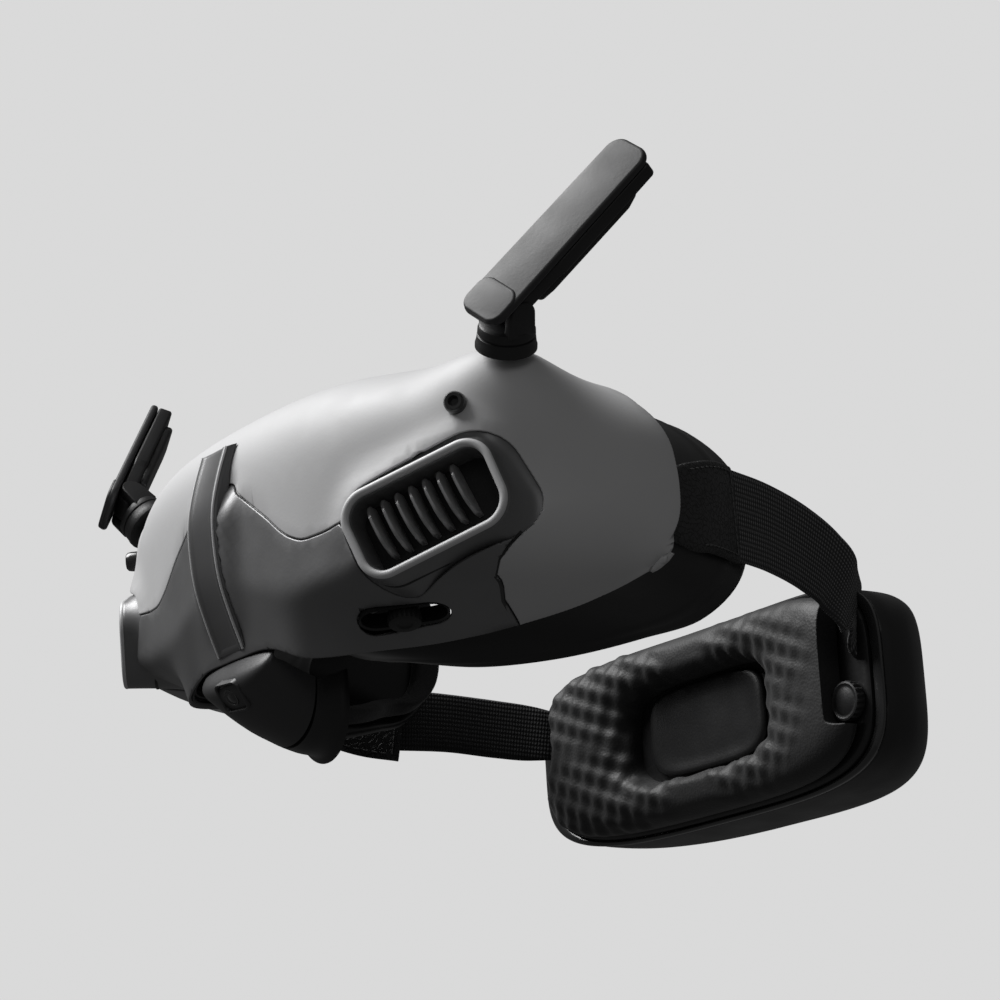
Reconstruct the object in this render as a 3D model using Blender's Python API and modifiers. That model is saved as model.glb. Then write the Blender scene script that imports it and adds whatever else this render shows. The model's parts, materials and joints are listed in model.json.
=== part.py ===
"""First-person-view flying goggles with a rear battery unit, as separate solids.

Dimensions are millimetres in the tables below and become metres when a mesh is made.
+X is the wearer's left, +Y points to the back of the head and +Z is up.
"""
import math

import bmesh
import bpy
import numpy as np
from mathutils import Matrix, Vector
from mathutils.geometry import delaunay_2d_cdt

MM = 0.001
ORIGIN = (0.0, 50.0, -7.455)        # point of the design frame that becomes the origin
GAP = 0.35                         # clearance between neighbouring pieces

# Front body
HALF_WIDTH = 85.0                  # shell half width
OUTLINE_POWER = 2.6                # squareness of the plan outline
REAR_Y = 32.0                      # widest station of the shell
OUTLINE_DEPTH = 61.0               # from the widest station to the front
PLAN_CENTRE_Y = 14.0               # directions are measured about this point
MID_Z, TOP_Z = 50.0, 79.0          # height of the widest section, height of the crown
SHELL = 2.0                        # cover thickness
HORN_AT = (74.8, -4.2, 71.5)       # seat of an antenna collar
HORN_AXIS = (0.62, -0.34, 0.70)
HORN_RISE, HORN_SPREAD = 8.0, 14.0
# By direction from straight ahead (degrees): crease height, crease rounding, rim position, crown squareness
DIRECTIONS = (0, 15, 30, 45, 60, 75, 88, 98, 104, 120)
CREASE_Z = (33, 29, 24.5, 27.5, 29, 28, 28, 31, 33, 36)
CREASE_ROUND = (0.12, 0.12, 0.12, 0.15, 0.25, 0.4, 0.6, 0.7, 0.7, 0.7)
RIM_X = (0, 14, 25, 31, 37, 47, 63, 78, 83.5, 80)
RIM_Y = (-26, -25.5, -22.5, -9, 3, 14.5, 22, 24.5, 26, 40)
RIM_Z = (20.5, 20, 16, 17.3, 18.8, 21.2, 23.5, 26, 29, 33)
CROWN_POWER = (3.2, 3.2, 3.2, 3.2, 3.0, 2.7, 2.3, 2.15, 2.1, 2.1)
# Seams of the right half: front view (x, z), side view (y, z), top view (x, y)
BROW_SEAM = ((0, 57.2), (6.9, 57.2), (10.1, 54.1), (19.2, 47), (27.3, 40.8), (30.3, 39.5), (37.5, 40))
CHEEK_SEAM = ((-3.4, 28.7), (-1.8, 26.6), (5.4, 23.9))
REAR_SEAM = ((27.5, 32), (29.2, 36.1), (29.6, 44.4), (27.5, 54.9), (25, 61.2))
CROWN_SEAM = ((67.5, 24.3), (50, 18), (25, 13.5), (0, 12))

# Side vents
VENT_AT = (60.0, -16.2, 41.0)
VENT_ALONG = (0.83, 0.54, 0.10)
VENT_CORNERS = ((-18, 3.6), (14.6, 10.2), (19.2, -7.4), (-12.6, -14.2))
VENT_RADIUS = 5.5
VENT_RAISE, VENT_DEPTH = 2.5, 3.5
RIB_COUNT, RIB_PITCH, RIB_LEAN = 7, 3.15, 3.8

# Optics
EYE_X, EYE_Z = 32.0, 46.0
EYE_HOLE = 20.2                    # half length of the slots the eyepieces slide in

# Controls: side view (y, z) places and radii
STUD_X, STUD_Z = 67.4, 60.0
STICK_AT, STICK_R = (9.0, 54.0), 4.6
BACK_AT, BACK_R = (9.0, 43.0), 3.8
PORT_AT = (19.2, 43.7)

# Antennas
HINGE_RISE = 8.2
ARM_DIR = (0.47, 0.53, 0.70)
ARM_FACE = (0.37, -0.87, 0.29)
ARM_LENGTH, ARM_WIDTH, ARM_THICK = 35.0, 12.4, 4.6
PLATE_THICK = 1.8

# Rear unit
REAR_Z = 16.0
REAR_HALF = (63.0, 23.5)
REAR_FRONT, REAR_FRONT_SAG = 106.0, 5.0
REAR_BACK, REAR_BACK_SAG = 133.0, 12.0
CELL_R, CELL_LENGTH, CELL_Y = 9.0, 65.0, 118.4


def interpolate(value, xs, ys):
    """Cubic curve through the points of a table."""
    xs, ys = np.array(xs, float), np.array(ys, float)
    value = np.clip(value, xs[0], xs[-1])
    i = np.clip(np.searchsorted(xs, value) - 1, 0, len(xs) - 2)
    h = xs[i + 1] - xs[i]
    t = (value - xs[i]) / h
    slope = np.gradient(ys, xs)
    return ((2 * t**3 - 3 * t**2 + 1) * ys[i] + (t**3 - 2 * t**2 + t) * h * slope[i]
            + (3 * t**2 - 2 * t**3) * ys[i + 1] + (t**3 - t**2) * h * slope[i + 1])


def outline_radius(direction):
    """Radius of the plan outline about its centre, found by halving."""
    s, c = np.abs(np.sin(direction)), np.cos(direction)
    low, high = np.zeros_like(direction), np.full_like(direction, 150.0)
    for _ in range(40):
        r = (low + high) / 2
        x, y = r * s, PLAN_CENTRE_Y - r * c
        f = ((x / HALF_WIDTH) ** OUTLINE_POWER
             + (np.clip(REAR_Y - y, 0, None) / OUTLINE_DEPTH) ** 2
             + (np.clip(y - REAR_Y, 0, None) / 30.0) ** 2.5)
        low, high = np.where(f < 1, r, low), np.where(f < 1, high, r)
    return (low + high) / 2


def unit(vector):
    v = np.asarray(vector, float)
    return v / np.linalg.norm(v)


def surface(q):
    """Outer surface of the front body over a disc: crown at 0, widest section at radius 1, rim at 2."""
    q = np.atleast_2d(np.asarray(q, float))
    theta, psi = np.arctan2(q[:, 0], -q[:, 1]), np.hypot(q[:, 0], q[:, 1])
    r0, a = outline_radius(theta), np.degrees(np.abs(theta))
    power = interpolate(a, DIRECTIONS, CROWN_POWER)
    phi = math.pi / 2 * (1 - np.clip(psi, 0, 1))
    r = r0 * np.clip(np.cos(phi), 0, 1) ** (2 / power)
    z = MID_Z + (TOP_Z - MID_Z) * np.sin(phi) ** (2 / power)
    upper = np.stack([r * np.sin(theta), PLAN_CENTRE_Y - r * np.cos(theta), z], 1)
    wall = np.stack([r0 * np.sin(theta), PLAN_CENTRE_Y - r0 * np.cos(theta), np.full_like(r0, MID_Z)], 1)
    crease = wall.copy()
    crease[:, 2] = interpolate(a, DIRECTIONS, CREASE_Z)
    rim = np.stack([np.sign(theta) * interpolate(a, DIRECTIONS, RIM_X),
                    interpolate(a, DIRECTIONS, RIM_Y), interpolate(a, DIRECTIONS, RIM_Z)], 1)
    w = interpolate(a, DIRECTIONS, CREASE_ROUND)[:, None]
    v = np.clip((psi - 1) * 2, 0, 2.4)[:, None]

    def straight(k):
        return np.where(k < 1, wall + (crease - wall) * k, crease + (rim - crease) * (k - 1))

    t = np.clip((v - 1 + w) / (2 * w), 0, 1)
    rounded = straight(1 - w) * (1 - t) ** 2 + 2 * t * (1 - t) * crease + straight(1 + w) * t * t
    lower = np.where(np.abs(v - 1) < w, rounded, straight(v))
    points = np.where((psi > 1)[:, None], lower, upper)
    for side in (1, -1):
        mirror = np.array([side, 1, 1])
        axis = unit(HORN_AXIS) * mirror
        away = points - (np.array(HORN_AT) * mirror - axis * HORN_RISE)
        along = away @ axis
        off = np.sqrt(np.clip((away**2).sum(1) - along**2, 0, None))
        points = points + axis * (HORN_RISE * np.exp(-(off / HORN_SPREAD) ** 2.2) * (along > -25))[:, None]
    return points


def where_hit(start, direction):
    """Disc coordinates of the first point of the surface on a line, by Newton steps."""
    start, direction = np.asarray(start, float), unit(direction)
    grid = np.array([[r * math.sin(t), -r * math.cos(t)] for r in np.linspace(0.15, 2, 30)
                     for t in np.radians(np.arange(-116, 117, 4))])
    away = surface(grid) - start
    along = away @ direction
    off = np.linalg.norm(away - along[:, None] * direction, axis=1)
    near = np.where(off < off.min() + 4)[0]
    best = near[np.argmin(along[near] + 0.5 * off[near])]
    q, t = grid[best], along[best]
    for _ in range(40):
        p = surface([q, q + [1e-4, 0], q + [0, 1e-4]])
        step = np.linalg.solve(np.stack([(p[1] - p[0]) / 1e-4, (p[2] - p[0]) / 1e-4, -direction], 1),
                               start + t * direction - p[0])
        scale = max(1.0, np.abs(step[:2]).max() / 0.15)
        q, t = q + step[:2] / scale, t + step[2] / scale
    return q


def from_front(x, z):
    return where_hit((x, -300, z), (0, 1, 0))


def from_side(y, z):
    return where_hit((300, y, z), (-1, 0, 0))


def from_above(x, y):
    return where_hit((x, y, 300), (0, 0, -1))


# ------------------------------------------------------------------ scene and mesh helpers
for old in list(bpy.data.objects):
    bpy.data.objects.remove(old)
PARTS = bpy.data.collections.new("fpv_goggles")
CUTTERS = bpy.data.collections.new("cutters")
for group in (PARTS, CUTTERS):
    bpy.context.scene.collection.children.link(group)
MATERIALS = {}
FINISHES = {                       # colour, roughness, metallic
    "light_cover": ((0.56, 0.56, 0.57), 0.38, 0.1),
    "dark_cover": ((0.045, 0.045, 0.048), 0.4, 0.3),
    "black_plastic": ((0.012, 0.012, 0.013), 0.45, 0.0),
    "grey_plastic": ((0.10, 0.10, 0.105), 0.45, 0.1),
    "rubber": ((0.01, 0.01, 0.01), 0.7, 0.0),
    "foam": ((0.02, 0.02, 0.021), 0.9, 0.0),
    "leather": ((0.015, 0.015, 0.016), 0.6, 0.0),
    "webbing": ((0.02, 0.02, 0.021), 0.85, 0.0),
    "glass": ((0.02, 0.02, 0.025), 0.08, 0.0),
    "metal": ((0.35, 0.35, 0.36), 0.35, 1.0),
    "board": ((0.02, 0.07, 0.04), 0.5, 0.0),
    "cell": ((0.05, 0.12, 0.22), 0.4, 0.0),
}


def material(name):
    if name not in MATERIALS:
        m = bpy.data.materials.new(name)
        m.use_nodes = True
        shader = m.node_tree.nodes["Principled BSDF"]
        colour, roughness, metallic = FINISHES[name]
        shader.inputs["Base Color"].default_value = (*colour, 1)
        shader.inputs["Roughness"].default_value = roughness
        shader.inputs["Metallic"].default_value = metallic
        MATERIALS[name] = m
    return MATERIALS[name]


def world(points):
    """Design millimetres to metres in the part's frame."""
    return (np.atleast_2d(np.asarray(points, float)) - np.array(ORIGIN)) * MM


def finish(name, bm, finish_name, group=PARTS):
    """Turns a bmesh in design millimetres into a closed, outward-facing object in metres."""
    bmesh.ops.recalc_face_normals(bm, faces=bm.faces)
    if bm.calc_volume(signed=True) < 0:
        bmesh.ops.reverse_faces(bm, faces=bm.faces)
    shift = Vector(ORIGIN)
    for v in bm.verts:
        v.co = (v.co - shift) * MM
    mesh = bpy.data.meshes.new(name)
    bm.to_mesh(mesh)
    bm.free()
    mesh.materials.append(material(finish_name))
    mesh.shade_smooth()
    mesh.set_sharp_from_angle(angle=math.radians(35))
    obj = bpy.data.objects.new(name, mesh)
    group.objects.link(obj)
    return obj


def set_origin(obj, point):
    """Moves an object's origin to a point of the design frame."""
    at = Vector(world(point)[0])
    obj.data.transform(Matrix.Translation(-at))
    obj.location = at
    return obj


def frame(origin, x, y):
    """Placement matrix from an origin, an x direction and a rough y direction."""
    x = unit(x)
    z = unit(np.cross(x, y))
    y = np.cross(z, x)
    return Matrix([[x[0], y[0], z[0], origin[0]], [x[1], y[1], z[1], origin[1]],
                   [x[2], y[2], z[2], origin[2]], [0, 0, 0, 1]])


def loft(name, loops, finish_name, closed_path=False, group=PARTS):
    """Skin over equal closed loops; a closed path joins the last loop to the first."""
    bm = bmesh.new()
    rows = [[bm.verts.new(p) for p in loop] for loop in loops]
    n = len(rows[0])
    pairs = list(zip(rows, rows[1:])) + ([(rows[-1], rows[0])] if closed_path else [])
    for a, b in pairs:
        for i in range(n):
            bm.faces.new((a[i], a[(i + 1) % n], b[(i + 1) % n], b[i]))
    if not closed_path:
        bm.faces.new(rows[0][::-1])
        bm.faces.new(rows[-1])
    return finish(name, bm, finish_name, group)


def box(name, low, high, finish_name, bevel=0.0, matrix=None, group=PARTS):
    bm = bmesh.new()
    bmesh.ops.create_cube(bm, size=1)
    low, high = Vector(low), Vector(high)
    for v in bm.verts:
        v.co = Vector([(a + b) / 2 + c * (b - a) for a, b, c in zip(low, high, v.co)])
    if matrix:
        bm.transform(matrix)
    obj = finish(name, bm, finish_name, group)
    if bevel:
        soften(obj, bevel)
    return obj


def soften(obj, width, segments=2):
    mod = obj.modifiers.new("soft edges", "BEVEL")
    mod.width, mod.segments, mod.limit_method = width * MM, segments, "ANGLE"
    mod.angle_limit = math.radians(40)


def rod(name, start, end, radius, finish_name, sides=16, group=PARTS):
    bm = bmesh.new()
    start, end = Vector(start), Vector(end)
    bmesh.ops.create_cone(bm, cap_ends=True, segments=sides, radius1=radius, radius2=radius,
                          depth=(end - start).length)
    turn = (end - start).to_track_quat("Z", "Y").to_matrix().to_4x4()
    bm.transform(Matrix.Translation((start + end) / 2) @ turn)
    return finish(name, bm, finish_name, group)


def plate(name, outlines, thickness, matrix, finish_name, bevel=0.0, group=PARTS):
    """Flat outline, with inner outlines as holes, thickened about its plane."""
    curve = bpy.data.curves.new(name, "CURVE")
    curve.dimensions, curve.fill_mode, curve.extrude = "2D", "BOTH", thickness / 2
    for outline in outlines:
        spline = curve.splines.new("POLY")
        spline.points.add(len(outline) - 1)
        for point, (x, y) in zip(spline.points, outline):
            point.co = (x, y, 0, 1)
        spline.use_cyclic_u = True
    guide = bpy.data.objects.new(name + "_outline", curve)
    CUTTERS.objects.link(guide)
    mesh = bpy.data.meshes.new_from_object(guide.evaluated_get(bpy.context.evaluated_depsgraph_get()))
    bpy.data.objects.remove(guide)
    bm = bmesh.new()
    bm.from_mesh(mesh)
    bmesh.ops.remove_doubles(bm, verts=bm.verts, dist=0.01)
    bm.transform(matrix)
    obj = finish(name, bm, finish_name, group)
    if bevel:
        soften(obj, bevel)
    return obj


def turned(name, profile, matrix, finish_name, steps=24, group=PARTS):
    """Profile of (radius, height) turned about the local z axis; heights run top to bottom outside."""
    mesh = bpy.data.meshes.new(name)
    shut = profile[0][0] > 0
    count = len(profile)
    edges = [(i, i + 1) for i in range(count - 1)] + ([(count - 1, 0)] if shut else [])
    mesh.from_pydata([(r * MM, 0, z * MM) for r, z in profile], edges, [])
    obj = bpy.data.objects.new(name, mesh)
    mesh.materials.append(material(finish_name))
    group.objects.link(obj)
    at = Vector(world(matrix.to_translation())[0])
    obj.matrix_world = Matrix.Translation(at) @ matrix.to_3x3().to_4x4()
    mod = obj.modifiers.new("turn", "SCREW")
    mod.steps = mod.render_steps = steps
    mod.use_merge_vertices, mod.merge_threshold = True, 0.00001
    return obj


def combine(obj, others, operation):
    """Joins tools to a piece, or cuts them from it, and files the tools with the cutters."""
    for other in others:
        mod = obj.modifiers.new(operation.lower(), "BOOLEAN")
        mod.operation, mod.object, mod.solver = operation, other, "EXACT"
        for home in list(other.users_collection):
            home.objects.unlink(other)
        CUTTERS.objects.link(other)
        other.hide_render, other.display_type = True, "WIRE"
    return obj


def inset(polygon, distance):
    """Moves a polygon's corners inwards by about the given distance."""
    p = np.asarray(polygon, float)
    area = 0.5 * np.sum(p[:, 0] * np.roll(p[:, 1], -1) - np.roll(p[:, 0], -1) * p[:, 1])
    back, ahead = p - np.roll(p, 1, 0), np.roll(p, -1, 0) - p
    back /= np.linalg.norm(back, axis=1)[:, None]
    ahead /= np.linalg.norm(ahead, axis=1)[:, None]
    normal = np.stack([-(back + ahead)[:, 1], (back + ahead)[:, 0]], 1)
    normal /= np.linalg.norm(normal, axis=1)[:, None] * np.clip(
        np.sum(back * ahead, 1) * 0.5 + 0.5, 0.35, 1)[:, None] ** 0.5
    return p + normal * distance * (1 if area > 0 else -1)


def inside(points, polygon):
    x, y = points[:, 0], points[:, 1]
    hit = np.zeros(len(points), bool)
    for (x1, y1), (x2, y2) in zip(polygon, np.roll(polygon, -1, 0)):
        crosses = (y1 > y) != (y2 > y)
        if y1 != y2:
            hit ^= crosses & (x < (x2 - x1) * (y - y1) / (y2 - y1) + x1)
    return hit


def horn_points():
    """Extra grid points, in disc coordinates, where the shell rises to meet the antenna collars."""
    axis = unit(HORN_AXIS)
    centre = where_hit(np.array(HORN_AT) + axis * 40, -axis)
    here, aside, ahead = surface([centre, centre + [0.01, 0], centre + [0, 0.01]])
    scale = 0.01 / max(np.linalg.norm(aside - here), np.linalg.norm(ahead - here))
    points = [centre]
    for radius, count in ((3.4, 6), (6.6, 9), (10.0, 11)):
        points += [centre + radius * scale * np.array([math.cos(t), math.sin(t)])
                   for t in np.linspace(0, 2 * math.pi, count, endpoint=False)]
    points = np.array(points)
    return np.concatenate([points, mirror_x(points)])


def panel(name, outline, holes, spacing, finish_name):
    """Cover panel: a patch of the body surface inside an outline, thickened inwards."""
    outline = inset(outline, 0.010)
    rings = [outline] + list(holes)
    steps = np.arange(-2.4, 2.41, spacing)
    grid = np.array([[x + (j % 2) * spacing / 2, y] for j, y in enumerate(steps) for x in steps])
    horns = horn_points()
    apart = np.min(np.linalg.norm(grid[:, None] - horns[None], axis=2), axis=1) > spacing * 0.35
    grid = np.concatenate([grid[apart], horns])
    keep = inside(grid, outline)
    for ring in rings:
        reach = np.min(np.linalg.norm(grid[:, None] - np.asarray(ring)[None], axis=2), axis=1)
        keep &= reach > spacing * 0.6
    for hole in holes:
        keep &= ~inside(grid, hole)
    points, edges = [], []
    for ring in rings:
        base = len(points)
        points += [tuple(p) for p in ring]
        edges += [(base + i, base + (i + 1) % len(ring)) for i in range(len(ring))]
    points += [tuple(p) for p in grid[keep]]
    verts, _, faces, *_ = delaunay_2d_cdt([Vector(p) for p in points], edges, [], 0, 1e-7)
    flat = np.array([v[:] for v in verts])
    centres = np.array([flat[list(f)].mean(0) for f in faces])
    keep = inside(centres, outline)
    for hole in holes:
        keep &= ~inside(centres, hole)
    bm = bmesh.new()
    made = [bm.verts.new(Vector(p)) for p in world(surface(flat))]
    for face, used in zip(faces, keep):
        if used:
            bm.faces.new([made[i] for i in face])
    bmesh.ops.delete(bm, geom=[v for v in bm.verts if not v.link_faces], context="VERTS")
    mesh = bpy.data.meshes.new(name)
    bm.to_mesh(mesh)
    bm.free()
    mesh.materials.append(material(finish_name))
    mesh.shade_smooth()
    obj = bpy.data.objects.new(name, mesh)
    PARTS.objects.link(obj)
    mod = obj.modifiers.new("wall", "SOLIDIFY")
    mod.thickness, mod.offset, mod.use_even_offset = SHELL * MM, -1, False
    return obj


def rounded(corners, radius, per_corner=4, grow=0.0):
    """Polygon with arcs at its corners (corners listed anticlockwise or clockwise)."""
    c = np.asarray(corners, float)
    out, n = [], len(c)
    for i in range(n):
        a, b = unit(c[i - 1] - c[i]), unit(c[(i + 1) % n] - c[i])
        half = math.acos(np.clip(a @ b, -1, 1)) / 2
        centre = c[i] + unit(a + b) * radius / math.sin(half)
        start, end = c[i] + a * radius / math.tan(half) - centre, c[i] + b * radius / math.tan(half) - centre
        for k in range(per_corner + 1):
            d = unit(start * (1 - k / per_corner) + end * k / per_corner)
            out.append(centre + d * (radius + grow))
    return np.array(out)


def stadium(half_length, half_width, per_end=6):
    """Long hole with round ends, along x."""
    r, out = half_width, []
    for side in (1, -1):
        for k in range(per_end + 1):
            a = math.pi * (k / per_end - 0.5) + (0 if side > 0 else math.pi)
            out.append((side * (half_length - r) + r * math.cos(a), r * math.sin(a)))
    return np.array(out)


def resample(points, count):
    """Even points along a smooth open curve through the given ones."""
    p = np.asarray(points, float)
    s = np.concatenate([[0], np.cumsum(np.linalg.norm(np.diff(p, axis=0), axis=1))])
    t = np.linspace(0, s[-1], count)
    return np.stack([interpolate(t, s, p[:, k]) for k in range(p.shape[1])], 1)


def mirror_x(points):
    return np.asarray(points, float) * np.array([-1.0] + [1.0] * (np.shape(points)[1] - 1))


def side_name(side):
    return "left" if side > 0 else "right"


def mirrored(matrix, side, keep="y"):
    """Placement for the other half, kept right-handed by reversing its local x (or y)."""
    if side > 0:
        return matrix
    local = Matrix.Diagonal((-1, 1, 1, 1) if keep == "y" else (1, -1, 1, 1))
    return Matrix.Diagonal((-1, 1, 1, 1)) @ matrix @ local


# ------------------------------------------------------------------ vents
VENT_FRAME = frame(VENT_AT, VENT_ALONG, np.cross(np.cross(VENT_ALONG, (0, 0, 1)), VENT_ALONG))
VENT_OUT = np.array(VENT_FRAME.to_3x3().col[2])
if VENT_OUT @ np.array([0.5, -0.8, 0]) < 0:
    raise ValueError("vent frame faces inwards")


def vent_points(outline, height):
    return np.array([VENT_FRAME @ Vector((x, y, height)) for x, y in outline])


def vent_ring_on_surface(grow):
    """The vent's outline, grown and dropped onto the body surface, in disc coordinates."""
    ring = rounded(VENT_CORNERS, VENT_RADIUS, 4, grow)
    return ring, np.array([where_hit(p, -VENT_OUT) for p in vent_points(ring, 30)])


def build_vent(side):
    name = side_name(side)
    flip = np.array([side, 1, 1])
    levels = ((1.9, -VENT_DEPTH), (1.9, -0.5), (1.2, VENT_RAISE - 0.6), (0.5, VENT_RAISE),
              (-0.7, VENT_RAISE), (-1.3, VENT_RAISE - 0.8), (-1.9, -VENT_DEPTH))
    loops = [vent_points(rounded(VENT_CORNERS, VENT_RADIUS, 4, g), h) * flip for g, h in levels]
    loft("vent_bezel_" + name, loops, "dark_cover", closed_path=True)
    place = mirrored(VENT_FRAME, side)
    outline = rounded(VENT_CORNERS, VENT_RADIUS, 3, 1.6)
    outline = outline if side > 0 else mirror_x(outline)
    back = plate("vent_grille_" + name, [outline], 1.4, place @ Matrix.Translation((0, 0, -4.6)),
                 "black_plastic")
    ribs = []
    for k in range(RIB_COUNT):
        x = -10.5 + RIB_PITCH * k
        z = -3.3 + 0.68 * k
        low, high = (x + RIB_LEAN / 2, z - 4.7), (x - RIB_LEAN / 2, z + 4.7)
        along = unit((high[0] - low[0], high[1] - low[1]))
        across = np.array([along[1], -along[0]]) * 0.45
        corners = [np.array(low) + across, np.array(high) + across, np.array(high) - across,
                   np.array(low) - across]
        corners = np.array(corners) if side > 0 else mirror_x(corners)
        ribs.append(plate(f"rib_{name}_{k}", [corners], 4.6, place @ Matrix.Translation((0, 0, -2.0)),
                          "black_plastic"))
    combine(back, ribs, "UNION")


# ------------------------------------------------------------------ covers, ridge and trim
def build_covers():
    ring, on_surface = vent_ring_on_surface(2.7)
    angle = np.degrees(np.arctan2(ring[:, 1], ring[:, 0]))
    upper = [i for i in range(len(ring)) if -28 < angle[i] < 168]
    lower = [i for i in range(len(ring)) if i not in upper]
    upper = sorted(upper, key=lambda i: -angle[i])
    lower = sorted(lower, key=lambda i: angle[i] % 360)
    brow = [from_front(x, z) for x, z in BROW_SEAM]
    cheek = [from_side(y, z) for y, z in CHEEK_SEAM]
    rim_at = math.radians(75.5)
    cheek.append(np.array([2 * math.sin(rim_at), -2 * math.cos(rim_at)]))
    rim_back = [np.array([2 * math.sin(t), -2 * math.cos(t)]) for t in np.radians((80, 86, 92, 98, 103))]
    rear = [from_side(y, z) for y, z in REAR_SEAM]
    crown = [from_above(x, y) for x, y in CROWN_SEAM]
    half = brow + [on_surface[i] for i in upper] + cheek + rim_back + rear + crown
    outline = half + [q * [-1, 1] for q in half[-2:0:-1]]
    turns = np.linspace(0, 2 * math.pi, 15)[:-1]
    holes = [[from_side(y + r * math.cos(a), z + r * math.sin(a)) for a in turns]
             for (y, z), r in ((STICK_AT, STICK_R), (BACK_AT, BACK_R))]
    holes.append([from_side(y, z) for y, z in inset(port_outline(), -1.2)])
    panel("top_cover", np.array(outline), [np.array(h) * [-1, 1] for h in holes], 0.17, "light_cover")

    rim_front = [np.array([2 * math.sin(t), -2 * math.cos(t)])
                 for t in np.radians((68, 60, 52, 44, 37, 30, 22, 14, 7, 0))]
    half = brow + [on_surface[i] for i in lower] + cheek + rim_front
    outline = half + [q * [-1, 1] for q in half[-2:0:-1]]
    slots = []
    for side in (1, -1):
        slot = np.array([from_under(p) for p in slot_outline()])
        slots.append(slot * [side, 1])
    panel("front_cover", np.array(outline), slots, 0.15, "dark_cover")


SLOT_AT, SLOT_ALONG = (40.6, -9.0, 21.9), (0.67, 0.74, 0.06)
SLOT_NORMAL = unit(np.cross(SLOT_ALONG, np.cross((0.22, -0.16, -0.96), SLOT_ALONG)))


def slot_frame():
    return frame(SLOT_AT, SLOT_ALONG, np.cross(SLOT_NORMAL, SLOT_ALONG))


def slot_outline():
    place = slot_frame()
    return np.array([place @ Vector((x, y, 0)) for x, y in stadium(10.4, 5.3, 5)])


def from_under(point):
    return where_hit(point + SLOT_NORMAL * 60, -SLOT_NORMAL)


RIDGE_FRONT = ((67.0, -29.2), (60, -31.4), (52, -33.0), (44, -32.8), (34, -31.9), (27, -30.6), (22.5, -29.3))


def build_ridge():
    """Central spine; its table gives the y of the front face at each height."""
    rows = []
    for z, front in RIDGE_FRONT:
        back = surface([from_front(6.4, z)])[0][1] - GAP - 0.25
        back = min(back, front + 6)
        rows.append([(-5.0, front, z - 0.8), (5.0, front, z - 0.8), (6.2, back, z), (-6.2, back, z)])
    loft("centre_ridge", rows, "grey_plastic")


# ------------------------------------------------------------------ bottom beak and nose rest
BEAK_WINDOW = frame((0, -26.5, 12.8), (1, 0, 0), (0, 0.62, -0.78))


def trough(stations, wall, count=9):
    """Open-topped channel: each station gives half width, y and z of its lips and of its keel."""
    loops = []
    for half, (lip_y, lip_z), (keel_y, keel_z) in stations:
        outer = []
        for k in range(count):
            a = math.pi * k / (count - 1)
            dip = math.sin(a) ** 0.75
            y, z = lip_y + (keel_y - lip_y) * dip, lip_z + (keel_z - lip_z) * dip
            outer.append(np.array([half * math.cos(a), y, z]))
        outer = np.array(outer)
        middle = np.array([0, lip_y, lip_z])
        inner = []
        for p in outer:
            d = middle - p
            inner.append(p + d / np.linalg.norm(d) * wall)
        loops.append(np.concatenate([outer, np.array(inner)[::-1]]))
    return loops


def build_beak():
    beak = loft("beak_cover", trough((
        (14.2, (-24.4, 19.2), (-28.0, 15.2)), (13.8, (-21.5, 18.0), (-24.5, 10.5)),
        (12.6, (-17.0, 16.8), (-18.5, 6.0)), (11.0, (-12.5, 16.0), (-12.8, 3.2))), 1.8), "dark_cover")
    hole = rounded(((-4.6, -2.6), (3.2, -3.4), (4.8, 2.6), (-3.2, 3.4)), 1.2, 3)
    window = plate("beak_window_hole", [hole], 12, BEAK_WINDOW, "black_plastic", group=CUTTERS)
    combine(beak, [window], "DIFFERENCE")
    pane = plate("beak_window", [rounded(((-4.2, -2.2), (2.9, -3.0), (4.4, 2.2), (-2.9, 3.0)), 1.0, 3)], 1.0,
                 BEAK_WINDOW @ Matrix.Translation((0, 0, -0.9)), "glass")
    eye = rod("beak_window_eye", BEAK_WINDOW @ Vector((0, 0, -1.0)), BEAK_WINDOW @ Vector((0, 0, 0.6)), 1.5,
              "glass")
    combine(pane, [eye], "UNION")
    loft("nose_rest", trough((
        (10.7, (-12.0, 15.8), (-12.0, 2.9)), (10.2, (-9.5, 16.6), (-9.0, 2.0)),
        (10.4, (-6.5, 17.6), (-5.6, 1.6)), (11.2, (-5.2, 18.2), (-3.6, 0.9))), 1.5), "rubber")


# ------------------------------------------------------------------ soft face shield
SHIELD_FRONT = ((0, -21, 23), (12, -21, 23), (23, -17.5, 20.5), (28.5, -8, 21.5), (34, 4, 23), (44, 14, 25),
                (60, 21, 28), (71, 24, 31), (75.5, 26, 38), (76, 27, 46), (74, 26, 55), (69, 22, 63),
                (58, 18, 69.5), (40, 13, 73.5), (20, 9, 75), (0, 7.5, 75.2))
SHIELD_REAR = ((0, -4, 27), (8, -2.5, 23.5), (14, 0.5, 20), (24, 3, 17.5), (34, 13, 15.2), (44, 24.6, 15.5),
               (52, 43, 19.9), (58, 54, 23.6), (61.5, 63, 33), (62.5, 65, 44), (62, 62, 56.5), (59, 54, 64.5),
               (52, 42, 69.5), (40, 30, 72.5), (21, 21, 74), (0, 18, 74.6))


def ring_from_half(half, count):
    """Closed loop from a half given from the lower to the upper centre."""
    h = resample(half, count)
    h[0, 0] = h[-1, 0] = 0
    return np.concatenate([h, mirror_x(h[-2:0:-1])])


def inward(loop, distance):
    """Shrinks a loop towards its middle, seen along y."""
    run = np.roll(loop, -1, 0) - np.roll(loop, 1, 0)
    normal = np.stack([-run[:, 2], run[:, 0]], 1)
    normal /= np.linalg.norm(normal, axis=1)[:, None]
    flat = loop[:, [0, 2]]
    normal *= np.sign(np.sum(normal * (flat.mean(0) - flat), 1))[:, None]
    out = loop.copy()
    out[:, [0, 2]] += normal * distance
    return out


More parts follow.
